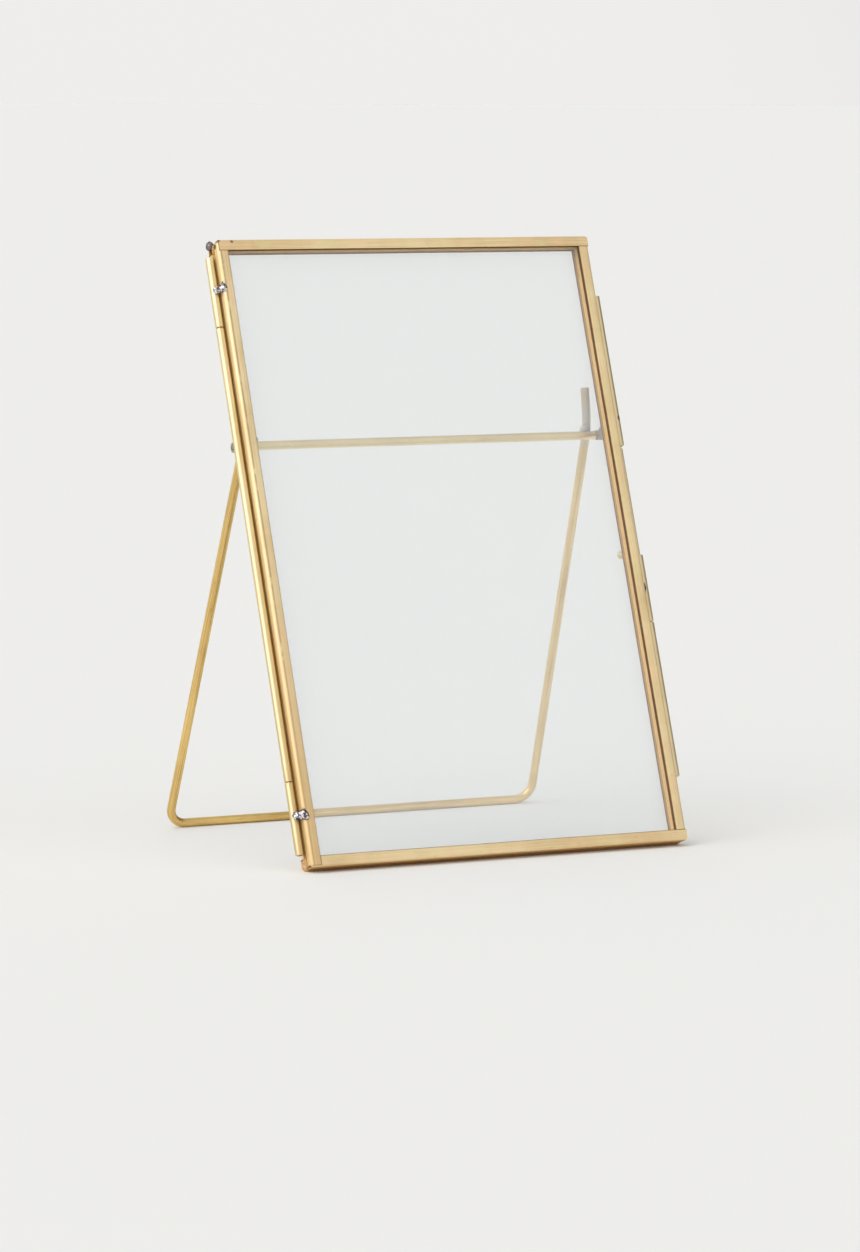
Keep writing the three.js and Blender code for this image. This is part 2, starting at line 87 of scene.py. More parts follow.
def on_leaf(points):
    """Leaf coordinates (u, v, n) to the part's frame: origin plus each number along its axis."""
    return LEAF_ORIGIN + np.asarray(points) @ LEAF_AXES


def on_stand(points):
    """Stand coordinates (x, y, z), measured from the pivot, to the part's frame."""
    return PIVOT + np.asarray(points) @ STAND_AXES


print("leaf corner in the part's frame:", on_leaf([-HALF, 0.0, 0.0]).round(2))

# %% [markdown]
# ## One way to make every surface
#
# Channel, tube, wire and solder are all grids of points: rows of closed rings. A table of points
# becomes a mesh in one go, with quads between neighbouring rings. The rows either close on
# themselves, as on a tube with a bore, or end in a cap. Each face also gets a UV map in metres,
# first along the stock and then around it, so that the drawn lines of the metal can follow it.

# %% From a grid of points to a mesh
SHARP_ANGLE = np.radians(38)


def signed_volume(points, faces):
    """Six times the volume: the sum, over a fan of triangles in each face, of a . (b x c)."""
    total = 0.0
    for face in faces:
        a, b, c = points[face[:, :1]], points[face[:, 1:-1]], points[face[:, 2:]]
        total += np.sum(a * np.cross(b, c))
    return total


def surface(name, points, along, around, closed_rows=False):
    """A mesh through points[row, column] in the part's frame, in millimetres.
    Columns close into rings. Rows close too, or a face caps each end. along[row] and
    around[column] are the UV coordinates, with one more value where a direction closes."""
    rows, columns = points.shape[:2]
    spans = rows if closed_rows else rows - 1
    i, j = np.meshgrid(np.arange(spans), np.arange(columns), indexing="ij")
    corner_rows = np.stack([i, i, i + 1, i + 1], axis=-1).reshape(-1, 4)
    corner_columns = np.stack([j, j + 1, j + 1, j], axis=-1).reshape(-1, 4)
    blocks = [(corner_rows % rows) * columns + corner_columns % columns]
    maps = [np.stack([along[corner_rows], around[corner_columns]], axis=-1)]
    if not closed_rows:
        ring = np.arange(columns)[None, :]
        for end, order in ((0, ring[:, ::-1]), (rows - 1, ring)):
            blocks.append(order + end * columns)
            maps.append(np.stack([np.full(order.shape, along[end]), around[order]], axis=-1))
    flat = points.reshape(-1, 3) * MM
    if signed_volume(flat, blocks) < 0:
        blocks = [block[:, ::-1] for block in blocks]
        maps = [uv[:, ::-1] for uv in maps]
    faces = [face for block in blocks for face in block.tolist()]
    mesh = bpy.data.meshes.new(name)
    mesh.from_pydata(flat.tolist(), [], faces)
    grain = mesh.uv_layers.new(name="grain")
    corners = np.concatenate([uv.reshape(-1, 2) for uv in maps]) * MM
    grain.data.foreach_set("uv", corners.ravel().astype(np.float32))
    mesh.polygons.foreach_set("use_smooth", np.ones(len(mesh.polygons), bool))
    mesh.set_sharp_from_angle(angle=SHARP_ANGLE)
    mesh.update()
    piece = bpy.data.objects.new(name, mesh)
    bpy.context.scene.collection.objects.link(piece)
    return piece


print("edges sharper than", round(np.degrees(SHARP_ANGLE)), "degrees stay crisp")

# %% Finish and body of a piece
def dress(piece, body, slot, finish, *nodes):
    """Gives a piece its finish, the body that it moves with and the solids that it stands for."""
    piece.data.materials.append(finish)
    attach(piece, body)
    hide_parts(*nodes)
    return piece


WAVE_LENGTHS, WAVES = (25, 90), 4


def wander(t, seed, size):
    """Hand work is never quite straight: a sum of slow sines of t (in millimetres), each with its
    own wavelength, start and weight, that stays within the given size."""
    draw = np.random.default_rng(seed)
    wavelength = draw.uniform(*WAVE_LENGTHS, WAVES)
    start = draw.uniform(0, 2 * np.pi, WAVES)
    weight = draw.uniform(0.5, 1, WAVES)
    waves = np.sin(2 * np.pi * np.asarray(t)[..., None] / wavelength + start) * weight
    return size * waves.sum(axis=-1) / weight.sum()


print("hand work wavers over", WAVE_LENGTHS, "mm")

# %% [markdown]
# ## Shared effects for the finishes
#
# The metals share six effects, so each is a node group that is built once and placed with its own
# values. Tarnish is a slow brown bloom with finer specks in it. Drawn lines are the hair-thin marks
# that rolling and drawing leave along the stock. Dents are the shallow unevenness of metal that was
# worked by hand. Clouds are the rosy and olive patches of old sheet. A band follows one line of the
# folded section, and a spot lies round one place. The groups give out only masks and heights; the
# shader stays in each material.

# %% Node helpers
FLOAT, VECTOR = "NodeSocketFloat", "NodeSocketVector"


def add_node(tree, kind, place, **values):
    """A new node at a place, with some of its properties set."""
    node = tree.nodes.new(kind)
    node.location = place
    for key, value in values.items():
        setattr(node, key, value)
    return node


def new_group(name, inputs, outputs):
    """A shader node group with named sockets. Inputs are (name, socket type, default)."""
    group = bpy.data.node_groups.new(name, "ShaderNodeTree")
    for label, kind, default in inputs:
        socket = group.interface.new_socket(label, in_out="INPUT", socket_type=kind)
        if default is not None:
            socket.default_value = default
    for label, kind in outputs:
        group.interface.new_socket(label, in_out="OUTPUT", socket_type=kind)
    group_in = add_node(group, "NodeGroupInput", (-900, 0))
    return group, group_in, add_node(group, "NodeGroupOutput", (700, 0))


def place_group(tree, group, place, values):
    """A node group in a material, with some of its inputs set."""
    node = add_node(tree, "ShaderNodeGroup", place, node_tree=group)
    for socket, value in values.items():
        node.inputs[socket].default_value = value
    return node


def noise(tree, place, scale, detail, roughness=0.55):
    """A noise texture with its fineness set."""
    node = add_node(tree, "ShaderNodeTexNoise", place)
    node.inputs["Scale"].default_value = scale
    node.inputs["Detail"].default_value = detail
    node.inputs["Roughness"].default_value = roughness
    return node


def remap(tree, place, low, high, to_low=0.0, to_high=1.0):
    """Stretches a range of values to another one, and keeps to its ends."""
    node = add_node(tree, "ShaderNodeMapRange", place)
    limits = {"From Min": low, "From Max": high, "To Min": to_low, "To Max": to_high}
    for socket, value in limits.items():
        node.inputs[socket].default_value = value
    return node


def maths(tree, place, operation, first, second):
    """A sum on two values, each a socket or a number. Returns the socket of the result."""
    node = add_node(tree, "ShaderNodeMath", place, operation=operation)
    for socket, value in zip(node.inputs, (first, second)):
        if isinstance(value, bpy.types.NodeSocket):
            tree.links.new(value, socket)
        else:
            socket.default_value = value
    return node.outputs["Value"]


print("node helpers are ready")

# %% Tarnish group
PATCH_SCALE, SPECK_SCALE = 55.0, 700.0
BLOOM_RANGE, SPECK_RANGE = (0.42, 0.75), (0.62, 0.74)

tarnish, t_in, t_out = new_group(
    "brass_tarnish",
    [("Vector", VECTOR, None), ("Patch Scale", FLOAT, PATCH_SCALE),
     ("Speck Scale", FLOAT, SPECK_SCALE)],
    [("Bloom", FLOAT), ("Specks", FLOAT)],
)
patches = noise(tarnish, (-600, 150), PATCH_SCALE, 4.0)
specks = noise(tarnish, (-600, -150), SPECK_SCALE, 3.0)
bloom = remap(tarnish, (-300, 150), *BLOOM_RANGE)
dots = remap(tarnish, (-300, -150), *SPECK_RANGE)
for texture, size in ((patches, "Patch Scale"), (specks, "Speck Scale")):
    tarnish.links.new(t_in.outputs["Vector"], texture.inputs["Vector"])
    tarnish.links.new(t_in.outputs[size], texture.inputs["Scale"])
tarnish.links.new(patches.outputs["Fac"], bloom.inputs["Value"])
tarnish.links.new(specks.outputs["Fac"], dots.inputs["Value"])
tarnish.links.new(bloom.outputs["Result"], t_out.inputs["Bloom"])
tarnish.links.new(dots.outputs["Result"], t_out.inputs["Specks"])
print("group:", tarnish.name)

# %% Drawn lines group
LINES_ALONG, LINES_ACROSS = 40.0, 5000.0

drawn, d_in, d_out = new_group(
    "drawn_lines",
    [("Grain", VECTOR, None), ("Along", FLOAT, LINES_ALONG), ("Across", FLOAT, LINES_ACROSS)],
    [("Lines", FLOAT)],
)
fineness = add_node(drawn, "ShaderNodeCombineXYZ", (-650, -120))
stretched = add_node(drawn, "ShaderNodeVectorMath", (-450, 0), operation="MULTIPLY")
streaks = noise(drawn, (-200, 0), 1.0, 3.0, 0.65)
drawn.links.new(d_in.outputs["Along"], fineness.inputs["X"])
drawn.links.new(d_in.outputs["Across"], fineness.inputs["Y"])
drawn.links.new(d_in.outputs["Grain"], stretched.inputs[0])
drawn.links.new(fineness.outputs["Vector"], stretched.inputs[1])
drawn.links.new(stretched.outputs["Vector"], streaks.inputs["Vector"])
drawn.links.new(streaks.outputs["Fac"], d_out.inputs["Lines"])
print("group:", drawn.name)

# %% Dents group
DENT_SCALE = 180.0

dents, e_in, e_out = new_group(
    "hand_dents", [("Vector", VECTOR, None), ("Scale", FLOAT, DENT_SCALE)], [("Height", FLOAT)],
)
dent_waves = noise(dents, (-200, 0), DENT_SCALE, 2.0, 0.45)
dents.links.new(e_in.outputs["Vector"], dent_waves.inputs["Vector"])
dents.links.new(e_in.outputs["Scale"], dent_waves.inputs["Scale"])
dents.links.new(dent_waves.outputs["Fac"], e_out.inputs["Height"])
print("group:", dents.name)

# %% Clouds group
CLOUD_SCALE, CLOUD_SHARE = 150.0, 0.45
ROSE_RANGE, OLIVE_RANGE = (0.54, 0.68), (0.46, 0.34)

clouds, c_in, c_out = new_group(
    "sheet_clouds", [("Vector", VECTOR, None), ("Share", FLOAT, CLOUD_SHARE)],
    [("Rose", FLOAT), ("Olive", FLOAT)],
)
puffs = noise(clouds, (-500, 0), CLOUD_SCALE, 4.0)
clouds.links.new(c_in.outputs["Vector"], puffs.inputs["Vector"])
for k, (tint, limits) in enumerate((("Rose", ROSE_RANGE), ("Olive", OLIVE_RANGE))):
    share = remap(clouds, (0, -250 * k), *limits)
    clouds.links.new(puffs.outputs["Fac"], share.inputs["Value"])
    clouds.links.new(c_in.outputs["Share"], share.inputs["To Max"])
    clouds.links.new(share.outputs["Result"], c_out.inputs[tint])
print("group:", clouds.name)

# %% Band and spot groups
REACH = [("Inner", FLOAT, 0.001), ("Outer", FLOAT, 0.002), ("Strength", FLOAT, 1.0)]


def end_in_mask(group, group_in, group_out, distance):
    """Ends a group: its Strength where the distance is under Inner, falling to 0 at Outer."""
    fade = remap(group, (300, 0), 0.0, 1.0, 1.0, 0.0)
    group.links.new(distance, fade.inputs["Value"])
    for label, socket in (("Inner", "From Min"), ("Outer", "From Max"), ("Strength", "To Min")):
        group.links.new(group_in.outputs[label], fade.inputs[socket])
    group.links.new(fade.outputs["Result"], group_out.inputs["Mask"])


section_band, b_in, b_out = new_group(
    "section_band", [("Grain", VECTOR, None), ("Centre", FLOAT, 0.0)] + REACH, [("Mask", FLOAT)],
)
split = add_node(section_band, "ShaderNodeSeparateXYZ", (-650, 0))
section_band.links.new(b_in.outputs["Grain"], split.inputs["Vector"])
off = maths(section_band, (-400, 0), "SUBTRACT", split.outputs["Y"], b_in.outputs["Centre"])
end_in_mask(section_band, b_in, b_out, maths(section_band, (-100, 0), "ABSOLUTE", off, 0.0))

spot, s_in, s_out = new_group(
    "spot", [("Vector", VECTOR, None), ("Place", VECTOR, None)] + REACH, [("Mask", FLOAT)],
)
apart = add_node(spot, "ShaderNodeVectorMath", (-300, 0), operation="DISTANCE")
spot.links.new(s_in.outputs["Vector"], apart.inputs[0])
spot.links.new(s_in.outputs["Place"], apart.inputs[1])
end_in_mask(spot, s_in, s_out, apart.outputs["Value"])
print("groups:", section_band.name, spot.name)

# %% [markdown]
# ## Brass and solder
#
# The sheet is satin, the drawn tube brighter, the crossbar brightest and the wire of the stand the
# deepest gold. Each could be painted by itself, but one recipe that is called with different values
# keeps them one family. Colour goes from clean metal to a brown bloom, roughness follows the drawn
# lines, and the bump adds the dents. Fresh solder is bright and grey, with near-black patches of
# painted reflection in its colour; where it was heated twice it is dull, where the flux burnt it is
# nearly black, and where brass ran into it it is rosy.

# %% Metal recipe
SPECK_SHARE = 0.4
STREAK_RANGE, GLOSS_RANGE = (0.40, 0.75), (0.3, 0.7)


def metal(name, clean, aged, roughness, bloom, dent_depth, streaks=0.0, line_depth=0.0,
          dent_scale=DENT_SCALE, patch_scale=PATCH_SCALE):
    """A metal finish: clean and aged colours mixed by the tarnish and the drawn lines, roughness
    (low, high) by the drawn lines, and a bump of lines and dents, in metres."""
    finish = bpy.data.materials.new(name)
    finish.use_nodes = True
    tree = finish.node_tree
    shader = tree.nodes["Principled BSDF"]
    shader.inputs["Metallic"].default_value = 1.0
    where = add_node(tree, "ShaderNodeTexCoord", (-1300, 0), name="where")
    age = place_group(tree, tarnish, (-1000, 250), {"Patch Scale": patch_scale})
    lines = place_group(tree, drawn, (-1000, 0), {})
    worked = place_group(tree, dents, (-1000, -250), {"Scale": dent_scale})
    tree.links.new(where.outputs["Object"], age.inputs["Vector"])
    tree.links.new(where.outputs["UV"], lines.inputs["Grain"])
    tree.links.new(where.outputs["Object"], worked.inputs["Vector"])

    patch = maths(tree, (-780, 380), "MULTIPLY", age.outputs["Bloom"], bloom)
    dotted = maths(tree, (-780, 220), "MULTIPLY", age.outputs["Specks"], SPECK_SHARE * bloom)
    worn = remap(tree, (-780, 540), *STREAK_RANGE, 0.0, streaks)
    tree.links.new(lines.outputs["Lines"], worn.inputs["Value"])
    colour = add_node(tree, "ShaderNodeMix", (-400, 260), data_type="RGBA")
    colour.inputs["A"].default_value = (*clean, 1)
    colour.inputs["B"].default_value = (*aged, 1)
    spread = maths(tree, (-600, 300), "ADD", patch, dotted)
    spread = maths(tree, (-500, 400), "ADD", spread, worn.outputs["Result"])
    tree.links.new(spread, colour.inputs["Factor"])
    tree.links.new(colour.outputs["Result"], shader.inputs["Base Color"])

    gloss = remap(tree, (-600, 0), *GLOSS_RANGE, *roughness)
    tree.links.new(lines.outputs["Lines"], gloss.inputs["Value"])
    tree.links.new(gloss.outputs["Result"], shader.inputs["Roughness"])

    ridges = maths(tree, (-780, -80), "MULTIPLY", lines.outputs["Lines"], line_depth)
    hollows = maths(tree, (-780, -240), "MULTIPLY", worked.outputs["Height"], dent_depth)
    bump = add_node(tree, "ShaderNodeBump", (-300, -200))
    bump.inputs["Distance"].default_value = 1.0
    tree.links.new(maths(tree, (-560, -180), "ADD", ridges, hollows), bump.inputs["Height"])
    tree.links.new(bump.outputs["Normal"], shader.inputs["Normal"])
    return finish


print("metal recipe with groups:", tarnish.name, drawn.name, dents.name)

# %% Tube, bar and wire
TUBE_FINISH = dict(clean=(0.84, 0.70, 0.43), aged=(0.60, 0.44, 0.20), roughness=(0.32, 0.46),
                   bloom=0.45, streaks=0.40, line_depth=3e-6, dent_depth=3e-5)
WIRE_FINISH = dict(clean=(0.98, 0.71, 0.28), aged=(0.46, 0.28, 0.08), roughness=(0.29, 0.43),
                   bloom=0.40, streaks=0.95, line_depth=8e-6, dent_depth=4e-5)
BAR_FINISH = dict(clean=(0.99, 0.79, 0.37), aged=(0.56, 0.37, 0.12), roughness=(0.16, 0.30),
                  bloom=0.35, streaks=0.75, line_depth=8e-6, dent_depth=4e-5)
tube_brass = metal("drawn_tube_brass", **TUBE_FINISH)
keeper_brass = metal("spotted_tube_brass", **TUBE_FINISH)
wire_brass = metal("bent_wire_brass", **WIRE_FINISH)
tinned_wire = metal("tinned_wire_brass", **WIRE_FINISH)
bar_brass = metal("drawn_bar_brass", **BAR_FINISH)
print("brass:", tube_brass.name, keeper_brass.name, wire_brass.name, bar_brass.name)

# %% Four kinds of solder
# The near-black patches of the bright solder are painted reflection: the dark mirrored in shiny
# drops is laid into their colour.
painted_reflection_solder = metal(
    "painted_reflection_solder", clean=(0.84, 0.82, 0.82), aged=(0.09, 0.07, 0.08), roughness=(0.05, 0.12),
    bloom=2.4, dent_depth=1.8e-4, dent_scale=700.0, patch_scale=1400.0)
dull_solder = metal(
    "dull_solder", clean=(0.50, 0.46, 0.43), aged=(0.26, 0.22, 0.19), roughness=(0.36, 0.50),
    bloom=0.70, dent_depth=1.2e-4, dent_scale=600.0)
burnt_solder = metal(
    "burnt_solder", clean=(0.26, 0.22, 0.23), aged=(0.03, 0.025, 0.03), roughness=(0.16, 0.28),
    bloom=1.6, dent_depth=1.6e-4, dent_scale=700.0, patch_scale=600.0)
rosy_solder = metal(
    "rosy_solder", clean=(0.90, 0.68, 0.48), aged=(0.46, 0.28, 0.16), roughness=(0.42, 0.58),
    bloom=1.2, dent_depth=1.2e-4, dent_scale=600.0, patch_scale=600.0)
print("solder:", painted_reflection_solder.name, dull_solder.name, burnt_solder.name, rosy_solder.name)

# %% [markdown]
# ## Marks of the making, and painted light and shade
#
# Some marks sit in one place only. The inside of the channels and the lip edges between the panes
# are laid gold as painted light. Cut edges are dark, partly dirt and partly painted shade, and deep
# in the front leaf's channel, under the bottom and in the groove where the leaves meet the sheet is
# brown with painted shade. Rosy and olive clouds lie over it. The front edge at the hinge side was
# scored before it was folded, and dirt sits in the broken score line. The corner above the hinge is
# laid dark at the open end of the channel, the foot of the hinge is darkened with painted shade,
# and the wire of the stand is tinned grey. Painted textures could show all this; here each mark is
# a mask that lays another colour over the metal, because a mask needs no image.

# %% Masks and stains
def stain(finish, mask, colour):
    """Lays another colour over a finish where a mask is 1: a mix between its colour and shader."""
    tree = finish.node_tree
    target = tree.nodes["Principled BSDF"].inputs["Base Color"]
    under = target.links[0].from_socket
    layer = add_node(tree, "ShaderNodeMix", (-180, 360), data_type="RGBA")
    layer.inputs["B"].default_value = (*colour, 1)
    tree.links.new(mask, layer.inputs["Factor"])
    tree.links.new(under, layer.inputs["A"])
    tree.links.new(layer.outputs["Result"], target)


def band(finish, centre, half, soft, strength):
    """A mask along the stock: strength within half of a centre line across the sheet, fading to 0
    over a soft edge. Lengths are millimetres round the section, from the front lip's edge over the
    outside and back through the inside."""
    tree = finish.node_tree
    mask = place_group(tree, section_band, (-700, 700), {
        "Centre": centre * MM, "Inner": half * MM, "Outer": (half + soft) * MM,
        "Strength": strength})
    tree.links.new(tree.nodes["where"].outputs["UV"], mask.inputs["Grain"])
    return mask.outputs["Mask"]


def near(finish, places, inner, outer, strength):
    """A mask round some places in the part's frame, the largest of their spots: strength within the
    inner distance, fading to 0 at the outer distance, in millimetres."""
    tree = finish.node_tree
    whole = 0.0
    for place in places:
        mask = place_group(tree, spot, (-900, 900), {
            "Place": place * MM, "Inner": inner * MM, "Outer": outer * MM, "Strength": strength})
        tree.links.new(tree.nodes["where"].outputs["Object"], mask.inputs["Vector"])
        whole = maths(tree, (-700, 900), "MAXIMUM", mask.outputs["Mask"], whole)
    return whole


print("stains by band or by place")

# %% Lines across the folded sheet
LIP, SHEET, BEND = 3.0, 0.45, 0.9
FLAT_LIP, QUARTER, EDGE = LIP - SHEET / 2 - BEND, np.pi / 2 * BEND, np.pi / 2 * SHEET
FLAT_WALL = LEAF_DEPTH - 2 * BEND
OUTSIDE = 2 * (FLAT_LIP + QUARTER) + FLAT_WALL
INSIDE = OUTSIDE - np.pi * SHEET
FRONT_LIP_START, FRONT_BEND, WALL_MIDDLE = 0.0, FLAT_LIP + QUARTER / 2, OUTSIDE / 2
BACK_EDGE = OUTSIDE + EDGE / 2
INSIDE_MIDDLE = OUTSIDE + EDGE + INSIDE / 2
FRONT_EDGE = OUTSIDE + INSIDE + 1.5 * EDGE
print("round the section:", round(FRONT_EDGE + EDGE / 2, 2), "mm")

# %% Sheet for the front leaf, the back leaf and the bottom edges
SHEET_FINISH = dict(clean=(0.94, 0.80, 0.52), aged=(0.66, 0.45, 0.20), roughness=(0.58, 0.74),
                    bloom=0.45, streaks=0.40, line_depth=4e-6, dent_depth=4e-5)
ROSE, OLIVE = (0.96, 0.70, 0.46), (0.83, 0.75, 0.42)
# Dark brown for cut edges and deep in the channel: dirt on some and painted shade on others. The
# brown under the bottom channels and in the groove between the leaves is painted shade.
DIRT_AND_SHADE_BROWN, UNDER_SHADE_BROWN, GROOVE_SHADE_BROWN = (0.21, 0.09, 0.02), (0.60, 0.37, 0.15), (0.44, 0.28, 0.09)
# Painted light: warm gold laid on the inside of the channels and on the lip edges between the
# panes.
INSIDE_LIGHT_GOLD, EDGE_LIGHT_GOLD = (0.97, 0.56, 0.12), (0.98, 0.68, 0.28)
MARK_STRENGTH = 0.9


def folded_sheet(name, marks):
    """Satin sheet brass, in places rosy or olive by the clouds, with bands along it. A mark is
    (centre, half, soft, colour)."""
    finish = metal(name, **SHEET_FINISH)
    tree = finish.node_tree
    cloudy = place_group(tree, clouds, (-700, -500), {})
    tree.links.new(tree.nodes["where"].outputs["Object"], cloudy.inputs["Vector"])
    stain(finish, cloudy.outputs["Rose"], ROSE)
    stain(finish, cloudy.outputs["Olive"], OLIVE)
    for centre, half, soft, colour in marks:
        stain(finish, band(finish, centre, half, soft, MARK_STRENGTH), colour)
    return finish


# Front leaf: painted shade on the front lip's cut edge and deep inside the channel, painted light
# in gold on the rest of the inside and on the back lip's cut edge.
front_marks = [
    (FRONT_EDGE, 0.2, 0.1, DIRT_AND_SHADE_BROWN),
    (INSIDE_MIDDLE, INSIDE / 2, 0.1, INSIDE_LIGHT_GOLD),
    (INSIDE_MIDDLE, INSIDE / 2 - 0.14, 0.12, DIRT_AND_SHADE_BROWN),
    (BACK_EDGE, 0.35, 0.1, EDGE_LIGHT_GOLD),
]
# Back leaf: painted light in gold on the inside and on the front lip's edges, a dark back lip's cut
# edge, and painted shade on the front bend, in the groove beside the hinge tube.
back_marks = [
    (INSIDE_MIDDLE, INSIDE / 2, 0.1, INSIDE_LIGHT_GOLD),
    (BACK_EDGE, 0.3, 0.12, DIRT_AND_SHADE_BROWN),
    (FRONT_EDGE, 0.4, 0.1, EDGE_LIGHT_GOLD),
    (FRONT_LIP_START, 0.4, 0.2, EDGE_LIGHT_GOLD),
    (FRONT_BEND, 0.4, 0.2, GROOVE_SHADE_BROWN),
]
# Painted shade: the underside of the bottom channels, which faces the floor, is laid brown.
under_shade_mark = (WALL_MIDDLE, FLAT_WALL / 2 + 0.35, 0.4, UNDER_SHADE_BROWN)
front_sheet = folded_sheet("front_sheet_brass", front_marks)
front_base = folded_sheet("front_base_brass", front_marks + [under_shade_mark])
back_sheet = folded_sheet("back_sheet_brass", back_marks)
back_base = folded_sheet("back_base_brass", back_marks + [under_shade_mark])
print("sheet:", front_sheet.name, front_base.name, back_sheet.name, back_base.name)

# %% Scored sheet at the hinge side
SCORE_DIRT, SCORE_WIDTH, SCORE_STRENGTH = (0.27, 0.18, 0.06), 0.14, 0.48
BREAK_SCALE, BREAK_RANGE = 260.0, (0.30, 0.46)

scored_sheet = folded_sheet("scored_sheet_brass", front_marks)
tree = scored_sheet.node_tree
score = band(scored_sheet, FLAT_LIP, SCORE_WIDTH, SCORE_WIDTH, SCORE_STRENGTH)
broken = noise(tree, (-1300, 1500), BREAK_SCALE, 4.0)
gaps = remap(tree, (-1100, 1500), *BREAK_RANGE)
tree.links.new(tree.nodes["where"].outputs["Object"], broken.inputs["Vector"])
tree.links.new(broken.outputs["Fac"], gaps.inputs["Value"])
dirt = maths(tree, (-500, 1400), "MULTIPLY", score, gaps.outputs["Result"])
stain(scored_sheet, dirt, SCORE_DIRT)
print("score line:", scored_sheet.name)

# %% Painted shade at the foot of the hinge, and a dark top corner
# Painted shade for the foot of the hinge, one colour for sheet and one for tube; a dark brown for
# the top corner and spots.
FOOT_SHADE_SHEET, FOOT_SHADE_TUBE, DARK_SPOT_BROWN = (0.74, 0.52, 0.26), (0.62, 0.47, 0.24), (0.20, 0.10, 0.03)

# Painted shade: sheet and tube are darkened round the foot of the hinge, where less light reaches
# low down.
hinge_foot = on_leaf([[-HALF, 0.0, 1.0]])
for finish, colour in ((scored_sheet, FOOT_SHADE_SHEET), (tube_brass, FOOT_SHADE_TUBE)):
    stain(finish, near(finish, hinge_foot, inner=15.0, outer=90.0, strength=0.6), colour)
# The corner above the hinge is laid dark at the open end of the channel, and a dark spot sits on
# the lip beside it.
dark_corner = on_leaf([[-HALF + 0.45, LEAF_HEIGHT - 0.3, 0.6], [-HALF + 0.1, LEAF_HEIGHT - 1.6, 1.5]])
lip_spot = on_leaf([[-HALF + 4.3, LEAF_HEIGHT - 0.6, 0.0]])
for finish in (front_sheet, scored_sheet):
    stain(finish, near(finish, dark_corner, inner=0.45, outer=0.95, strength=0.95), DARK_SPOT_BROWN)
    stain(finish, near(finish, lip_spot, inner=0.2, outer=0.6, strength=0.9), DIRT_AND_SHADE_BROWN)
print("warm foot at", hinge_foot.round(1).tolist())

# %% Tinned wire and spotted keeper
BAR, WIRE, LEG_CLEARANCE, CROSSING_GAP = 2.3, 2.3, 0.25, 0.1
CROSSING_RISE, STUB_MIDDLE = 2.0, 9.0
TIN_GREY, STUB_GREY = (0.50, 0.45, 0.41), (0.42, 0.37, 0.26)
SPOT_V, SPOT_OFF_AXIS = 114.9, 0.75

leg_u = HALF - LIP - LEG_CLEARANCE - WIRE / 2
leg_offset = (BAR + WIRE) / 2 + CROSSING_GAP
both_sides = np.array([[-leg_u, leg_offset, 0.0], [leg_u, leg_offset, 0.0]])
stubs = on_stand(both_sides + [0.0, 0.0, STUB_MIDDLE])
crossings = on_stand(both_sides + [0.0, 0.0, CROSSING_RISE])
stain(tinned_wire, near(tinned_wire, stubs, inner=4.0, outer=6.0, strength=0.7), STUB_GREY)
stain(tinned_wire, near(tinned_wire, crossings, inner=3.0, outer=7.5, strength=0.85), TIN_GREY)
keeper_spot = on_leaf([[TUBE_U + SPOT_OFF_AXIS, SPOT_V, TUBE_N - SPOT_OFF_AXIS]])
stain(keeper_brass, near(keeper_brass, keeper_spot, inner=0.5, outer=1.0, strength=0.95), DARK_SPOT_BROWN)
print("tinned from the crossings up:", tinned_wire.name)

# %% [markdown]
# ## Glass
#
# Plain picture glass with a breath of green-grey. A mix of clear and mirror would be quicker, but a
# shader that bends the light shows the thickness of the panes. A faint film of wiping marks changes
# the gloss a little. Rays that only ask whether a lamp can be seen pass straight through, so that
# the panes don't darken the floor as a solid would.

# %% Glass finish
GLASS_TINT, WIPING_FILM, CLARITY, GLASS_IOR = (0.942, 0.953, 0.957), (0.0, 0.03), 0.955, 1.5
WIPING_TURN, WIPING_SCALE, WIPING_RANGE = (0.0, 0.0, 0.7), (30.0, 30.0, 110.0), (0.45, 0.75)


def clear_glass(name, tint, film):
    """Glass: nearly full transmission, a tint, and a roughness between two values by a slow smear
    pattern."""
    finish = bpy.data.materials.new(name)
    finish.use_nodes = True
    tree = finish.node_tree
    shader = tree.nodes["Principled BSDF"]
    shader.inputs["Base Color"].default_value = (*tint, 1)
    shader.inputs["Transmission Weight"].default_value = CLARITY
    shader.inputs["IOR"].default_value = GLASS_IOR
    where = add_node(tree, "ShaderNodeTexCoord", (-900, 0))
    wiping = add_node(tree, "ShaderNodeMapping", (-700, 0))
    wiping.inputs["Rotation"].default_value = WIPING_TURN
    wiping.inputs["Scale"].default_value = WIPING_SCALE
    smear = noise(tree, (-500, 0), 1.0, 5.0)
    gloss = remap(tree, (-300, 0), *WIPING_RANGE, *film)
    tree.links.new(where.outputs["Object"], wiping.inputs["Vector"])
    tree.links.new(wiping.outputs["Vector"], smear.inputs["Vector"])
    tree.links.new(smear.outputs["Fac"], gloss.inputs["Value"])
    tree.links.new(gloss.outputs["Result"], shader.inputs["Roughness"])
    ray = add_node(tree, "ShaderNodeLightPath", (0, 300))
    through = add_node(tree, "ShaderNodeBsdfTransparent", (0, -500))
    through.inputs["Color"].default_value = (*tint, 1)
    either = add_node(tree, "ShaderNodeMixShader", (350, 0))
    tree.links.new(ray.outputs["Is Shadow Ray"], either.inputs["Fac"])
    tree.links.new(shader.outputs["BSDF"], either.inputs[1])
    tree.links.new(through.outputs["BSDF"], either.inputs[2])
    tree.links.new(either.outputs["Shader"], tree.nodes["Material Output"].inputs["Surface"])
    return finish


picture_glass = clear_glass("picture_glass", GLASS_TINT, WIPING_FILM)
for node in ("front_glass", "back_glass"):
    pane = frame["nodes"][node].data
    pane.materials.clear()
    pane.materials.append(picture_glass)
print("glass on both panes")

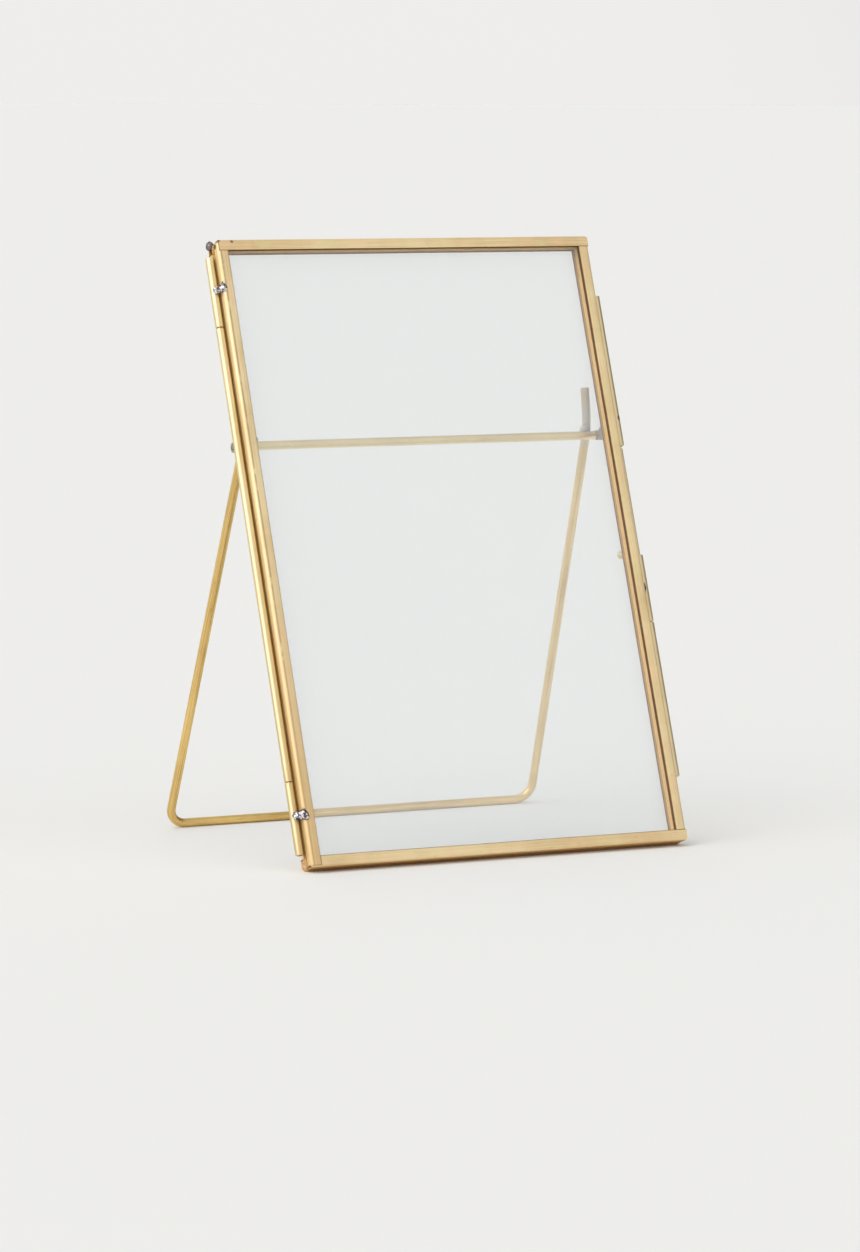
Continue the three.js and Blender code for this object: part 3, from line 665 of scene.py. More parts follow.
# %% [markdown]
# ## Folded channel
#
# Each pane is held by four lengths of U-channel, bent from thin sheet. The sheet has a real
# thickness, its bends are round and its cut edges are dressed. One way is to extrude a U and bevel
# it; here the section is drawn once as a closed line and carried along a straight path, because
# then every station can wander a little, as hand-bent sheet does.

# %% Section of the channel
def channel_section(bend_steps=8, nose_steps=5, lip_steps=4):
    """The closed outline of the folded sheet as (inward, back): the middle line of the sheet runs
    along the front lip, round a quarter circle, down the wall, round another and along the back
    lip; the two faces lie half the thickness to either side, and a half circle rounds off each cut
    edge."""
    middle = BEND - SHEET / 2
    turn = np.linspace(0, np.pi / 2, bend_steps)
    lip = np.linspace(LIP - SHEET / 2, BEND, lip_steps)
    front = np.stack([lip, np.full(lip_steps, SHEET / 2)], axis=1)
    front_bend = np.stack([BEND - middle * np.sin(turn), BEND - middle * np.cos(turn)], axis=1)
    half = np.concatenate([front, front_bend[1:]])
    back = half[::-1] * [1, -1] + [0, LEAF_DEPTH]
    line = np.concatenate([half, back])
    step = np.gradient(line, axis=0)
    side = np.stack([step[:, 1], -step[:, 0]], axis=1)
    side = side / np.linalg.norm(step, axis=1, keepdims=True)
    outer, inner = line - side * SHEET / 2, line + side * SHEET / 2
    round_off = np.linspace(0, np.pi, nose_steps + 2)[1:-1, None]
    outward = np.array([SHEET / 2, 0]) * np.sin(round_off)
    noses = [end + (face - end) * np.cos(round_off) + outward
             for end, face in ((line[-1], outer[-1]), (line[0], inner[0]))]
    return np.concatenate([outer, noses[0], inner[::-1], noses[1]])


section = channel_section()
print("channel section:", len(section), "points")

# %% A length of channel
STATION_STEP, SAW_CUT = 2.0, 0.005
CORNER, CORNER_REACH = 0.9, 3.0
LIP_WANDER, FLARE, FLARE_WANDER = 0.025, 0.03, 0.03
NOTCH_LEFT = 0.02
NOTCH_RIM = BEND - np.sqrt(BEND ** 2 - (BEND - SHEET) ** 2)
CHANNEL_GRAIN = 211.0


def corner_cut(inward, inset):
    """How far a channel's end draws back to leave the leaf's corner round: the gap between a corner
    and a circle of radius CORNER, at a distance inward, for an end that starts inset from it."""
    short = np.clip(CORNER - inward, 0, CORNER)
    return np.clip(CORNER - np.sqrt(CORNER ** 2 - short ** 2) - inset, 0, None)


def channel(name, start, inward, along, length, seed, insets, notches):
    """The section carried along a straight path. The lips breathe by a slow wander, the ends follow
    the leaf's round corners, and over the notches, lengths at both ends, the lips are cut away."""
    cuts = np.array([notches[0], length - notches[1]])
    s = np.linspace(0, length, int(length / STATION_STEP) + 2)
    s = np.concatenate([s, cuts - SAW_CUT, cuts + SAW_CUT])
    s = np.unique(np.clip(s, 0, length))[:, None]
    share = section[None, :, 0] / LIP
    depth_in = section[None, :, 0] + share * wander(s, seed, LIP_WANDER)
    flare = np.where(section[None, :, 1] > LEAF_DEPTH / 2, -1, 1) * share ** 2
    depth_back = section[None, :, 1] + flare * (FLARE + wander(s, seed + 50, FLARE_WANDER))
    place = s + 0 * depth_in
    for inset, edge, sign in zip(insets, (s, length - s), (1, -1)):
        fading = np.clip(1 - edge / CORNER_REACH, 0, 1)
        place = place + sign * corner_cut(section[None, :, 0], inset) * fading
    whole = (s > cuts[0] - SAW_CUT / 5) & (s < cuts[1] + SAW_CUT / 5)
    low = np.minimum(depth_in, SHEET + NOTCH_LEFT * (depth_in - SHEET))
    rim = np.clip(depth_back, NOTCH_RIM, LEAF_DEPTH - NOTCH_RIM)
    depth_in = np.where(whole, depth_in, low)
    depth_back = np.where(whole, depth_back, rim)
    flat = (np.asarray(start) + place[..., None] * np.asarray(along)
            + depth_in[..., None] * np.asarray(inward)
            + depth_back[..., None] * np.array([0, 0, 1.0]))
    ring = np.linalg.norm(np.diff(section, axis=0, append=section[:1]), axis=1)
    around = np.concatenate([[0], np.cumsum(ring)])
    return surface(name, on_leaf(flat), s[:, 0] + CHANNEL_GRAIN * seed, around)


print("channel stations every", STATION_STEP, "mm")

# %% The eight channels
BUTT_GAP, SEAT_GAP = 0.02, 0.15
BUTT, SEAT = LIP + BUTT_GAP, SHEET + SEAT_GAP


def leaf_channels(prefix, body, depth, seed, long_side, finishes):
    """The long side stands in a notch of the bottom channel, and its wall runs on up to close the
    end of the top one. The other side butts between the lips of both. Laid open the leaves are
    alike, so closed the long side is at the left (-1) of one and at the right (1) of the other."""
    up = np.array([0, 1.0, 0])
    out = long_side * ACROSS
    long_foot, short_foot = out * HALF + [0, 0, depth], -out * HALF + [0, 0, depth]
    long_name, short_name = ("left", "right") if long_side < 0 else ("right", "left")
    layout = {
        "top": (long_foot - out * SEAT + up * LEAF_HEIGHT, -up, -out, LEAF_WIDTH - SEAT,
                (SEAT, 0), (0, 0)),
        "bottom": (long_foot, up, -out, LEAF_WIDTH, (0, 0), (BUTT, 0)),
        long_name: (long_foot + up * SEAT, -out, up, LEAF_HEIGHT - SHEET - SEAT,
                    (SEAT, SHEET), (0, BUTT - SHEET)),
        short_name: (short_foot + up * BUTT, out, up, LEAF_HEIGHT - 2 * BUTT,
                     (BUTT, BUTT), (0, 0)),
    }
    for k, (place, path) in enumerate(layout.items()):
        node = f"{prefix}_{place}_channel"
        start, inward, along, length, insets, notches = path
        piece = channel(f"{node}_folded", start, inward, along, length, seed + k, insets, notches)
        dress(piece, body, "brass_sheet", finishes.get(place, finishes["top"]), node)
        print(piece.name, len(piece.data.polygons), "faces")


front_finishes = {"top": front_sheet, "bottom": front_base, "left": scored_sheet}
leaf_channels("front", "front_leaf", 0.0, 1, -1, front_finishes)
back_finishes = {"top": back_sheet, "bottom": back_base}
leaf_channels("back", "back_leaf", BACK_LEAF_N, 11, 1, back_finishes)

# %% [markdown]
# ## Tubes
#
# Hinge, bolt and crossbar are cut from thin brass tube. A primitive cylinder with a bevel would do;
# here a tube is a profile turned about its axis: out along the wall, round the dressed end, back
# along the bore. The wall is a touch uneven, so that highlights waver as they do on soft metal.

# %% Turned surface
TUBE_ROUND, TUBE_SIDES, TURNED_GRAIN, SWELL_TURN = 0.16, 40, 173.0, 3.0


def frame_on(axis):
    """An axis of length one, and two directions square to it and to each other."""
    axis = axis / np.linalg.norm(axis)
    side = np.cross(axis, [0.0, 0.0, 1.0] if abs(axis[2]) < 0.9 else [1.0, 0.0, 0.0])
    side = side / np.linalg.norm(side)
    return axis, side, np.cross(axis, side)


def turned(name, start, axis, profile, sides, seed, waver=0.0, closed=True):
    """A profile of (distance along, radius) turned about an axis. The radius shrinks and grows
    slowly along and around the wall. Columns run around; rows run along the profile, which closes
    on itself or is capped."""
    axis, right, front = frame_on(np.asarray(axis, float))
    angle = np.linspace(0, 2 * np.pi, sides, endpoint=False)
    z, r = profile[:, :1], profile[:, 1:]
    swell = np.sin(2 * angle[None, :] + wander(z, seed, SWELL_TURN)) * wander(z, seed + 5, 1.0)
    r = r * (1 - waver * (1 + swell) / 2)
    points = (np.asarray(start, float) + z[..., None] * axis
              + (r * np.cos(angle))[..., None] * right + (r * np.sin(angle))[..., None] * front)
    along = profile[:, 0] + TURNED_GRAIN * seed
    along = np.append(along, along[0]) if closed else along
    around = np.linspace(0, 2 * np.pi, sides + 1) * profile[:, 1].max()
    return surface(name, points, along, around, closed)


def tube_profile(length, outer, bore, step=4.0):
    """Closed profile of a tube: wall, quarter-round rim, bore, quarter-round rim. Sizes are
    diameters."""
    rim, hole = outer / 2, bore / 2
    turn = np.linspace(0, np.pi / 2, 5)
    z = np.linspace(TUBE_ROUND, length - TUBE_ROUND, max(3, int(length / step)))
    wall = np.stack([z, np.full_like(z, rim)], axis=1)
    rounded = rim - TUBE_ROUND + TUBE_ROUND * np.cos(turn)
    head = np.stack([length - TUBE_ROUND + TUBE_ROUND * np.sin(turn), rounded], axis=1)
    foot = np.stack([TUBE_ROUND - TUBE_ROUND * np.cos(turn), rounded[::-1]], axis=1)
    down = np.concatenate([[length], z[::-1], [0.0]])
    inside = np.stack([down, np.full_like(down, hole)], axis=1)
    return np.concatenate([wall, head[1:], inside, foot[:-1]])


print("tubes have", TUBE_SIDES, "sides")

# %% Hinge tubes and bolt tubes
PIN, PLAY, TUBE_WAVER = 1.0, 0.15, 0.02
HINGE_HEAD, HINGE_END, TUBE_GAP = 4.2, 18.6, 0.3
BOLT_FOOT, BOLT_HEAD, SHORT_GUIDE, TRAVEL, STEM = 17.6, 16.2, 18.0, 28.0, 1.0
middle_foot = HINGE_FOOT + HINGE_END + TUBE_GAP
top_foot = LEAF_HEIGHT - HINGE_HEAD - HINGE_END
slot_length = TRAVEL + 2 * STEM
long_guide = (LEAF_HEIGHT - BOLT_FOOT - SHORT_GUIDE - TUBE_GAP - slot_length - BOLT_HEAD) / 2
short_foot = BOLT_FOOT + long_guide + TUBE_GAP
slot_foot = short_foot + SHORT_GUIDE
keeper_foot = slot_foot + slot_length


def side_tube(node, body, side, foot, length, seed, finish=tube_brass):
    """A tube that stands beside the leaves, at the left (-1) or the right (1)."""
    profile = tube_profile(length, TUBE, PIN + 2 * PLAY)
    start = on_leaf([side * TUBE_U, foot, TUBE_N])
    piece = turned(f"{node}_drawn", start, UP, profile, TUBE_SIDES, seed, TUBE_WAVER)
    return dress(piece, body, "brass_tube", finish, node)


middle_length = top_foot - TUBE_GAP - middle_foot
side_tube("hinge_tube_bottom", "front_leaf", -1, HINGE_FOOT, HINGE_END, 31)
side_tube("hinge_tube_middle", "back_leaf", -1, middle_foot, middle_length, 32)
side_tube("hinge_tube_top", "front_leaf", -1, top_foot, HINGE_END, 33)
side_tube("bolt_guide_long", "front_leaf", 1, BOLT_FOOT, long_guide, 34)
side_tube("bolt_guide_short", "front_leaf", 1, short_foot, SHORT_GUIDE, 35)
side_tube("bolt_keeper", "back_leaf", 1, keeper_foot, long_guide, 36, keeper_brass)
print("long guide", round(long_guide, 2), "mm, slot", round(slot_foot, 2), round(keeper_foot, 2))

# %% Crossbar and eyelets
EYELET, EYELET_EDGE, EYELET_WAVER, PIVOT_WIRE = 2.7, 0.15, 0.05, 1.2
CROSSBAR_DROP, MOUND_HEIGHT = 53.0, 2.2
PIVOT_V, PIVOT_N = LEAF_HEIGHT - CROSSBAR_DROP, FRAME_BACK + MOUND_HEIGHT + EYELET / 2
bar_end, bar_bore = LIP, PIVOT_WIRE + 2 * PLAY
bar_length = LEAF_WIDTH - 2 * bar_end
eyelet_length = bar_end - TUBE_GAP - EYELET_EDGE

bar = turned("stand_crossbar_drawn", PIVOT - ACROSS * bar_length / 2, ACROSS,
             tube_profile(bar_length, BAR, bar_bore), TUBE_SIDES, 41, TUBE_WAVER)
dress(bar, "stand", "brass_tube", bar_brass, "stand_crossbar")
for side, end in (("left", EYELET_EDGE - HALF), ("right", HALF - EYELET_EDGE - eyelet_length)):
    barrel = turned(f"stand_eyelet_{side}_tinned", on_leaf([end, PIVOT_V, PIVOT_N]), ACROSS,
                    tube_profile(eyelet_length, EYELET, bar_bore, 0.6), TUBE_SIDES, 43,
                    EYELET_WAVER)
    dress(barrel, "back_leaf", "brass_tube", dull_solder, f"stand_eyelet_{side}")
print("crossbar", bar_length, "mm, eyelets", round(eyelet_length, 2), "mm")

# %% [markdown]
# ## Pins, rod and knob
#
# The hinge pin, the pivot and the bolt are cut wire with slightly domed ends. The bolt's knob is a
# thin stem with a ball on it. A cylinder and a sphere could be joined, but all of these are
# profiles turned about an axis, from one end to the other, so one function makes them.

# %% Turned wires
DOME_SHARE, DOME_START, PIN_SIDES = 0.22, 0.15, 24


def rod_profile(length, diameter, step=5.0):
    """A rod with domed ends: the radius grows as a quarter ellipse at each end and is even
    between."""
    turn = np.linspace(DOME_START, np.pi / 2, 6)
    dome = DOME_SHARE * diameter
    z = np.linspace(dome, length - dome, max(3, int(length / step)))[1:-1]
    rise = np.stack([dome * (1 - np.cos(turn)), diameter / 2 * np.sin(turn)], axis=1)
    fall = rise[::-1] * [-1, 1] + [length, 0]
    return np.concatenate([rise, np.stack([z, np.full_like(z, diameter / 2)], axis=1), fall])


pin_length = LEAF_HEIGHT - HINGE_FOOT - HINGE_HEAD - 2 * PIN_RECESS
pin = turned("hinge_pin_wire", on_leaf(pin_foot), UP, rod_profile(pin_length, PIN), PIN_SIDES, 51,
             closed=False)
dress(pin, "back_leaf", "brass_wire", wire_brass, "hinge_pin")
pivot_length = LEAF_WIDTH - 2 * (EYELET_EDGE + PIN_RECESS)
pivot = turned("stand_pivot_drawn", PIVOT - ACROSS * pivot_length / 2, ACROSS,
               rod_profile(pivot_length, PIVOT_WIRE), PIN_SIDES, 52, closed=False)
dress(pivot, "stand", "brass_wire", wire_brass, "stand_pivot_wire")
rod_foot = BOLT_FOOT + PIN_RECESS
rod_length = keeper_foot - 2 * TUBE_GAP - rod_foot
rod = turned("bolt_rod_drawn", on_leaf([TUBE_U, rod_foot, TUBE_N]), UP,
             rod_profile(rod_length, PIN), PIN_SIDES, 53, closed=False)
dress(rod, "bolt", "brass_wire", tube_brass, "bolt_rod")
print("pin", round(pin_length, 1), "mm, pivot", round(pivot_length, 1), "mm, rod",
      round(rod_length, 1), "mm")

# %% Knob
KNOB_TILT, STEM_LENGTH, BALL = np.radians(9.5), 8.5, 2.2
NECK, NECK_FLARE, STEM_SEAT = 0.5, 0.06, 0.1
KNOB_SIDES, BALL_STEPS, BALL_POLE = 32, 22, 0.08


def knob_profile():
    """A straight stem that flares in a short hollow curve into a ball, closed at the far pole."""
    ball, stem = BALL / 2, STEM / 2
    centre = STEM_LENGTH + np.sqrt(ball ** 2 - stem ** 2)
    turn = np.linspace(np.pi - np.arcsin(stem / ball), BALL_POLE, BALL_STEPS)
    sphere = np.stack([centre + ball * np.cos(turn), ball * np.sin(turn)], axis=1)
    z = np.linspace(0, STEM_LENGTH - NECK, 8)
    share = np.linspace(0, 1, 5)[1:-1]
    neck = np.stack([STEM_LENGTH - NECK + NECK * share, stem + NECK_FLARE * share ** 2], axis=1)
    return np.concatenate([np.stack([z, np.full_like(z, stem)], axis=1), neck, sphere[1:]])


knob_axis = LEAF_AXES[2] * np.cos(KNOB_TILT) + LEAF_AXES[1] * np.sin(KNOB_TILT)
knob_n = TUBE_N + PIN / 2 + STEM_SEAT + STEM / 2 * np.sin(KNOB_TILT)
knob = turned("bolt_knob_turned", on_leaf([TUBE_U, slot_foot + STEM, knob_n]), knob_axis,
              knob_profile(), KNOB_SIDES, 54, closed=False)
dress(knob, "bolt", "brass_wire", tube_brass, "bolt_knob")
print("knob:", len(knob.data.polygons), "faces")

# %% [markdown]
# ## The bent wire stand
#
# One length of wire makes both legs and the foot. It is bent round a peg at each corner, so
# straight runs meet in round bends, and above the crossbar a short stub bends towards the leaf. A
# curve object with a round bevel could draw it; here the section is carried along the line by
# arithmetic, always square to it, because then the grain knows how far along the wire it is.

# %% Line of the wire
BEND_STEPS, RUN_STEP = 14, 4.0
KNEE_RISE, KNEE_BEND, FOOT_BEND, FOOT_INSET = 1.6, 25.0, 4.6, 0.1
STUB_RISE, RIGHT_STUB_TOE_IN, STOP_GAP, PANE_SEAT = 12.4, 0.9, 0.2, 0.15
leg_length = (PIVOT[2] - WIRE / 2 + leg_offset * np.sin(LEG_TURN)) / np.cos(LEG_TURN)
opening = np.arcsin(UP[1]) + LEG_TURN
toward = FRAME_BACK - SHEET - PANE_SEAT + WIRE / 2 + STOP_GAP - PIVOT_N
tip_y = toward * np.cos(opening) + STUB_RISE * np.sin(opening)
tip_z = STUB_RISE * np.cos(opening) - toward * np.sin(opening)
half_line = np.array([
    [leg_u, tip_y, tip_z],
    [leg_u, leg_offset, KNEE_RISE],
    [HALF - FOOT_INSET, leg_offset, -leg_length],
])
corners = np.concatenate([half_line * [-1, 1, 1], half_line[::-1]])
corners[-1, 0] -= RIGHT_STUB_TOE_IN


def bent_line(corners, radii):
    """Stations along straight runs and round bends: returns points and directions. In a bend of
    radius r through angle a the line leaves the run r tan(a / 2) before the corner and follows an
    arc."""
    runs = np.diff(corners, axis=0)
    lengths = np.linalg.norm(runs, axis=1)
    heading = runs / lengths[:, None]
    turns = np.arccos(np.clip(np.sum(heading[:-1] * heading[1:], axis=1), -1, 1))
    cut = np.concatenate([[0], radii * np.tan(turns / 2), [0]])
    points, tangents = [], []
    for k, (start, direction) in enumerate(zip(corners[:-1], heading)):
        stations = max(3, int(lengths[k] / RUN_STEP))
        s = np.linspace(cut[k], lengths[k] - cut[k + 1], stations)[:, None]
        points.append(start + s * direction)
        tangents.append(np.repeat(direction[None], len(s), axis=0))
        if k + 1 < len(heading):
            a = np.linspace(0, turns[k], BEND_STEPS)[1:-1, None]
            across = heading[k + 1] - direction * np.dot(heading[k + 1], direction)
            across = across / np.linalg.norm(across)
            arc = np.sin(a) * direction + (1 - np.cos(a)) * across
            points.append(points[-1][-1] + radii[k] * arc)
            tangents.append(np.cos(a) * direction + np.sin(a) * across)
    return np.concatenate(points), np.concatenate(tangents)


line, heading = bent_line(corners, np.array([KNEE_BEND, FOOT_BEND, FOOT_BEND, KNEE_BEND]))
print("wire line:", len(line), "stations")

# %% Wire along the line
END_EASE, END_INSET = np.array([0.62, 0.86, 0.97]), np.array([0.0, 0.07, 0.2])


def swept_wire(name, line, heading, diameter, sides=32):
    """A round section carried along a line. Its frame keeps one side turned to the back: the part
    of the back direction that is square to the line, and the cross product of the two. The cut ends
    are eased."""
    back = np.array([0, 1.0, 0]) - heading * heading[:, 1:2]
    back = back / np.linalg.norm(back, axis=1, keepdims=True)
    side = np.cross(back, heading)
    first = line[0] + END_INSET[:, None] * heading[0]
    last = line[-1] - END_INSET[::-1, None] * heading[-1]
    line = np.concatenate([first, line[1:-1], last])
    radius = np.concatenate([END_EASE, np.ones(len(line) - 6), END_EASE[::-1]]) * diameter / 2
    side = np.concatenate([side[:1], side[:1], side, side[-1:], side[-1:]])
    back = np.concatenate([back[:1], back[:1], back, back[-1:], back[-1:]])
    angle = np.linspace(0, 2 * np.pi, sides, endpoint=False)
    rings = (line[:, None] + (radius[:, None] * np.cos(angle))[..., None] * side[:, None]
             + (radius[:, None] * np.sin(angle))[..., None] * back[:, None])
    steps = np.linalg.norm(np.diff(line, axis=0), axis=1)
    along = np.concatenate([[0], np.cumsum(steps)])
    around = np.linspace(0, np.pi * diameter, sides + 1)
    return surface(name, on_stand(rings), along, around)


stand_wire = swept_wire("stand_leg_bent", line, heading, WIRE)
dress(stand_wire, "stand", "brass_wire", tinned_wire, "stand_leg_wire")
print("stand wire:", len(stand_wire.data.polygons), "faces")

# %% [markdown]
# ## Solder
#
# Every joint is soft-soldered by hand: a drop ran in, pulled along the seam and froze, bright and
# lumpy. A metaball could do it, but rings whose radius swells and shrinks give more control. At the
# hinge a drop bridges tube and leaf like a little bone; elsewhere it is a plain lump that sinks
# into both pieces that it joins. Two more lumps fill the ends of the back leaf's top and bottom
# channels at the hinge.

# %% Two kinds of drop
POLE, PEAK_PLACE, PEAK_WIDTH, PEAK_SHARPNESS, DROP_BUMPS = 0.06, 0.75, 0.13, 4, 0.5
ROUNDNESS, WAIST, RING_GIRTH = 0.8, 0.3, 6.3


def bumps(ball, seed, count=9, pace=2.6):
    """Unevenness over a ball of directions: the mean of sines of random slanted waves."""
    draw = np.random.default_rng(seed)
    slant, start = draw.normal(0, pace, (3, count)), draw.uniform(0, 2 * np.pi, count)
    return np.sin(ball @ slant + start).mean(axis=-1)


def ball_grid(rows, columns):
    """Latitudes, longitudes and the unit vectors that they point along."""
    a = np.linspace(POLE, np.pi - POLE, rows)[:, None]
    b = np.linspace(0, 2 * np.pi, columns, endpoint=False)[None, :]
    ball = np.stack([np.sin(a) * np.cos(b), np.sin(a) * np.sin(b), np.cos(a) + 0 * b], axis=-1)
    return a, b, ball


def lump(name, centre, axes, size, seed, unevenness=0.45, rows=28, columns=40):
    """A ball whose radius is 1 plus some unevenness, stretched by size along three axes."""
    *_, ball = ball_grid(rows, columns)
    ball = ball * (1 + unevenness * bumps(ball, seed))[..., None]
    points = np.asarray(centre) + (ball * np.asarray(size)) @ np.asarray(axes)
    return surface(name, points, np.linspace(0, np.pi, rows) * size[2],
                   np.linspace(0, 2 * np.pi, columns + 1) * size[0])


def bridge(name, start, finish, ends, tall, peak, seed, rows=44, columns=48):
    """A drop between two places on the leaf: rings about the line that joins them. The radius runs
    from one end's size to the other's, is pinched in the middle, closes round at both ends, and
    rises to a soft peak on the second lobe."""
    a, b, ball = ball_grid(rows, columns)
    start, finish = np.asarray(start), np.asarray(finish)
    reach = np.linalg.norm(finish - start)
    forward, upward = (finish - start) / reach, np.array([0, 1.0, 0])
    sideways = np.cross(forward, upward)
    t = (1 - np.cos(a)) / 2
    radius = (ends[0] + (ends[1] - ends[0]) * t) * np.sin(a) ** ROUNDNESS
    radius = radius * (1 - WAIST * np.sin(np.pi * t) ** 2) * (1 + DROP_BUMPS * bumps(ball, seed))
    along = t * (reach + sum(ends)) - ends[0]
    crest = np.exp(-((t - PEAK_PLACE) / PEAK_WIDTH) ** 2)
    crest = crest * np.clip(np.sin(b), 0, 1) ** PEAK_SHARPNESS
    height = tall * radius * np.sin(b) + peak * crest
    points = (start + along[..., None] * forward + (radius * np.cos(b))[..., None] * sideways
              + height[..., None] * upward)
    return surface(name, on_leaf(points), np.linspace(0, reach, rows),
                   np.linspace(0, RING_GIRTH * ends[0], columns + 1))


print("drops are bridges or lumps")

# %% Drops at the hinge
ON_TUBE_U, ON_TUBE_N = -55.4, 1.75
LOWER_FORM = dict(ends=(1.1, 1.35), tall=1.35, peak=0.9, seed=62)
UPPER_FORM = dict(ends=(1.0, 1.2), tall=1.2, peak=0.7, seed=61)
bottom_mid, top_mid = HINGE_FOOT + HINGE_END / 2, top_foot + HINGE_END / 2
hinge_drops = {
    "bottom": (bottom_mid + 0.6, (-53.95, bottom_mid + 0.4, 0.55), LOWER_FORM),
    "top": (top_mid + 0.5, (-54.15, top_mid + 0.5, 0.65), UPPER_FORM),
}
for place, (tube_v, on_lip, form) in hinge_drops.items():
    node = f"hinge_solder_{place}"
    drop = bridge(f"{node}_drop", (ON_TUBE_U, tube_v, ON_TUBE_N), on_lip, **form)
    dress(drop, "front_leaf", "solder", painted_reflection_solder, node)
print("hinge drops at", round(bottom_mid, 1), "and", round(top_mid, 1), "mm up the leaf")

# %% Lumps at the other seams
LUMP_AXES = LEAF_AXES[[0, 2, 1]]
BACK_SEAM_U, BACK_SEAM_N, BACK_SEAM_SIZE = 54.7, 4.6, (0.7, 0.9, 2.0)
lower_v, upper_v = middle_foot + HINGE_END / 2, top_foot - TUBE_GAP - HINGE_END / 2
keeper_v, long_v = keeper_foot + long_guide / 2, BOLT_FOOT + long_guide / 2
short_v = short_foot + SHORT_GUIDE / 2
leaf_lumps = {
    "hinge_solder_middle_lower": (
        "back_leaf", (-BACK_SEAM_U, lower_v, BACK_SEAM_N), BACK_SEAM_SIZE, 63, dull_solder),
    "hinge_solder_middle_upper": (
        "back_leaf", (-BACK_SEAM_U, upper_v, BACK_SEAM_N), BACK_SEAM_SIZE, 64, dull_solder),
    "guide_solder_long": (
        "front_leaf", (54.5, long_v, 1.85), (0.32, 0.5, 1.2), 65, burnt_solder),
    "guide_solder_short": (
        "front_leaf", (54.65, short_v, 1.7), (0.55, 0.7, 1.6), 66, burnt_solder),
    "keeper_solder": (
        "back_leaf", (BACK_SEAM_U, keeper_v, BACK_SEAM_N), BACK_SEAM_SIZE, 67, dull_solder),
}
for node, (body, place, size, seed, finish) in leaf_lumps.items():
    drop = lump(f"{node}_drop", on_leaf(place), LUMP_AXES, size, seed)
    dress(drop, body, "solder", finish, node)
print("lumps on the leaves:", len(leaf_lumps))

# %% Fills in the open channel ends
top_fill = lump("back_top_channel_end_fill", on_leaf([-54.4, LEAF_HEIGHT - 0.6, 4.2]), LUMP_AXES,
                (1.0, 1.3, 1.2), 68, 0.3)
dress(top_fill, "back_leaf", "solder", burnt_solder)
fill_place = on_leaf([-53.95, 1.65, BACK_LEAF_N + LEAF_DEPTH / 2])
foot_fill = lump("back_bottom_channel_end_fill", fill_place, LUMP_AXES, (0.4, 1.0, 1.3), 69, 0.25)
dress(foot_fill, "back_leaf", "solder", rosy_solder)
print("fills:", top_fill.name, foot_fill.name)

# %% Solder at the stand
MOUND_N, MOUND_SIZE, MOUND_SHIFT = FRAME_BACK + 0.9, (1.35, 2.4, 2.0), {"left": 0.85, "right": 0.0}
FILLET_IN, FILLET_BACK, FILLET_UP, FILLET_SIZE = 1.1, 1.3, 1.0, (1.5, 1.1, 1.4)
mound_finish = {"left": burnt_solder, "right": dull_solder}
for side, sign in (("left", -1), ("right", 1)):
    u = sign * (HALF - EYELET_EDGE - eyelet_length / 2) - MOUND_SHIFT[side]
    mound = lump(f"eyelet_solder_{side}_mound", on_leaf([u, PIVOT_V, MOUND_N]), LUMP_AXES,
                 MOUND_SIZE, 71 + sign, 0.2)
    dress(mound, "back_leaf", "solder", mound_finish[side], f"eyelet_solder_{side}")
    place = on_stand([sign * (leg_u - FILLET_IN), FILLET_BACK, FILLET_UP])
    crossing = lump(f"leg_solder_{side}_fillet", place, STAND_AXES, FILLET_SIZE, 76 + sign, 0.3)
    dress(crossing, "stand", "solder", dull_solder, f"leg_solder_{side}")
print("two mounds under the eyelets, two fillets at the crossings")

# %% [markdown]
# ## Floor
#
# The frame stands on a wide pale floor that runs out of sight. A curved backdrop would hide the
# horizon too, but a plain floor under a dome of the same white does it with one face.

# %% Floor
PAPER, PAPER_SHADE, FLOOR_REACH = (0.86, 0.864, 0.86), 0.99, 60.0


def pale_paper(name, colour):
    """A matt paper finish with a hardly visible mottling."""
    finish = bpy.data.materials.new(name)
    finish.use_nodes = True
    tree = finish.node_tree
    shader = tree.nodes["Principled BSDF"]
    shader.inputs["Roughness"].default_value = 0.9
    shader.inputs["Specular IOR Level"].default_value = 0.1
    where = add_node(tree, "ShaderNodeTexCoord", (-800, 0))
    mottle = noise(tree, (-600, 0), 6.0, 3.0)
    tone = add_node(tree, "ShaderNodeMix", (-300, 0), data_type="RGBA")
    tone.inputs["A"].default_value = (*colour, 1)
    tone.inputs["B"].default_value = (*(PAPER_SHADE * np.array(colour)), 1)
    tree.links.new(where.outputs["Object"], mottle.inputs["Vector"])
    tree.links.new(mottle.outputs["Fac"], tone.inputs["Factor"])
    tree.links.new(tone.outputs["Result"], shader.inputs["Base Color"])
    return finish


square = np.array([[-1.0, -1, 0], [1, -1, 0], [1, 1, 0], [-1, 1, 0]]) * FLOOR_REACH
floor_mesh = bpy.data.meshes.new("pale_floor")
floor_mesh.from_pydata(square.tolist(), [], [(0, 1, 2, 3)])
floor = bpy.data.objects.new("pale_floor", floor_mesh)
floor.data.materials.append(pale_paper("pale_paper", PAPER))
bpy.context.scene.collection.objects.link(floor)
print("floor", 2 * FLOOR_REACH, "m wide")

# %% [markdown]
# ## Light
#
# A white dome lights everything. A broad soft window at the upper left shapes the metal and throws
# the faint shadow to the right; the far right is a little darker, so that bright metal has
# something to reflect. Lamps could stand there instead, but patches on the dome have no hard edge.

# %% Light
DOME_LEVEL, DOME_COLOUR = 0.86, (1.0, 0.99, 0.973)
WINDOW = dict(azimuth=-74, elevation=34, inner=14, outer=42, gain=1.7)
SHADE = dict(azimuth=98, elevation=20, inner=14, outer=56, gain=-0.68)

sky = bpy.data.worlds.new("white_dome")
sky.use_nodes = True
tree = sky.node_tree
direction = add_node(tree, "ShaderNodeTexCoord", (-1200, 0)).outputs["Generated"]


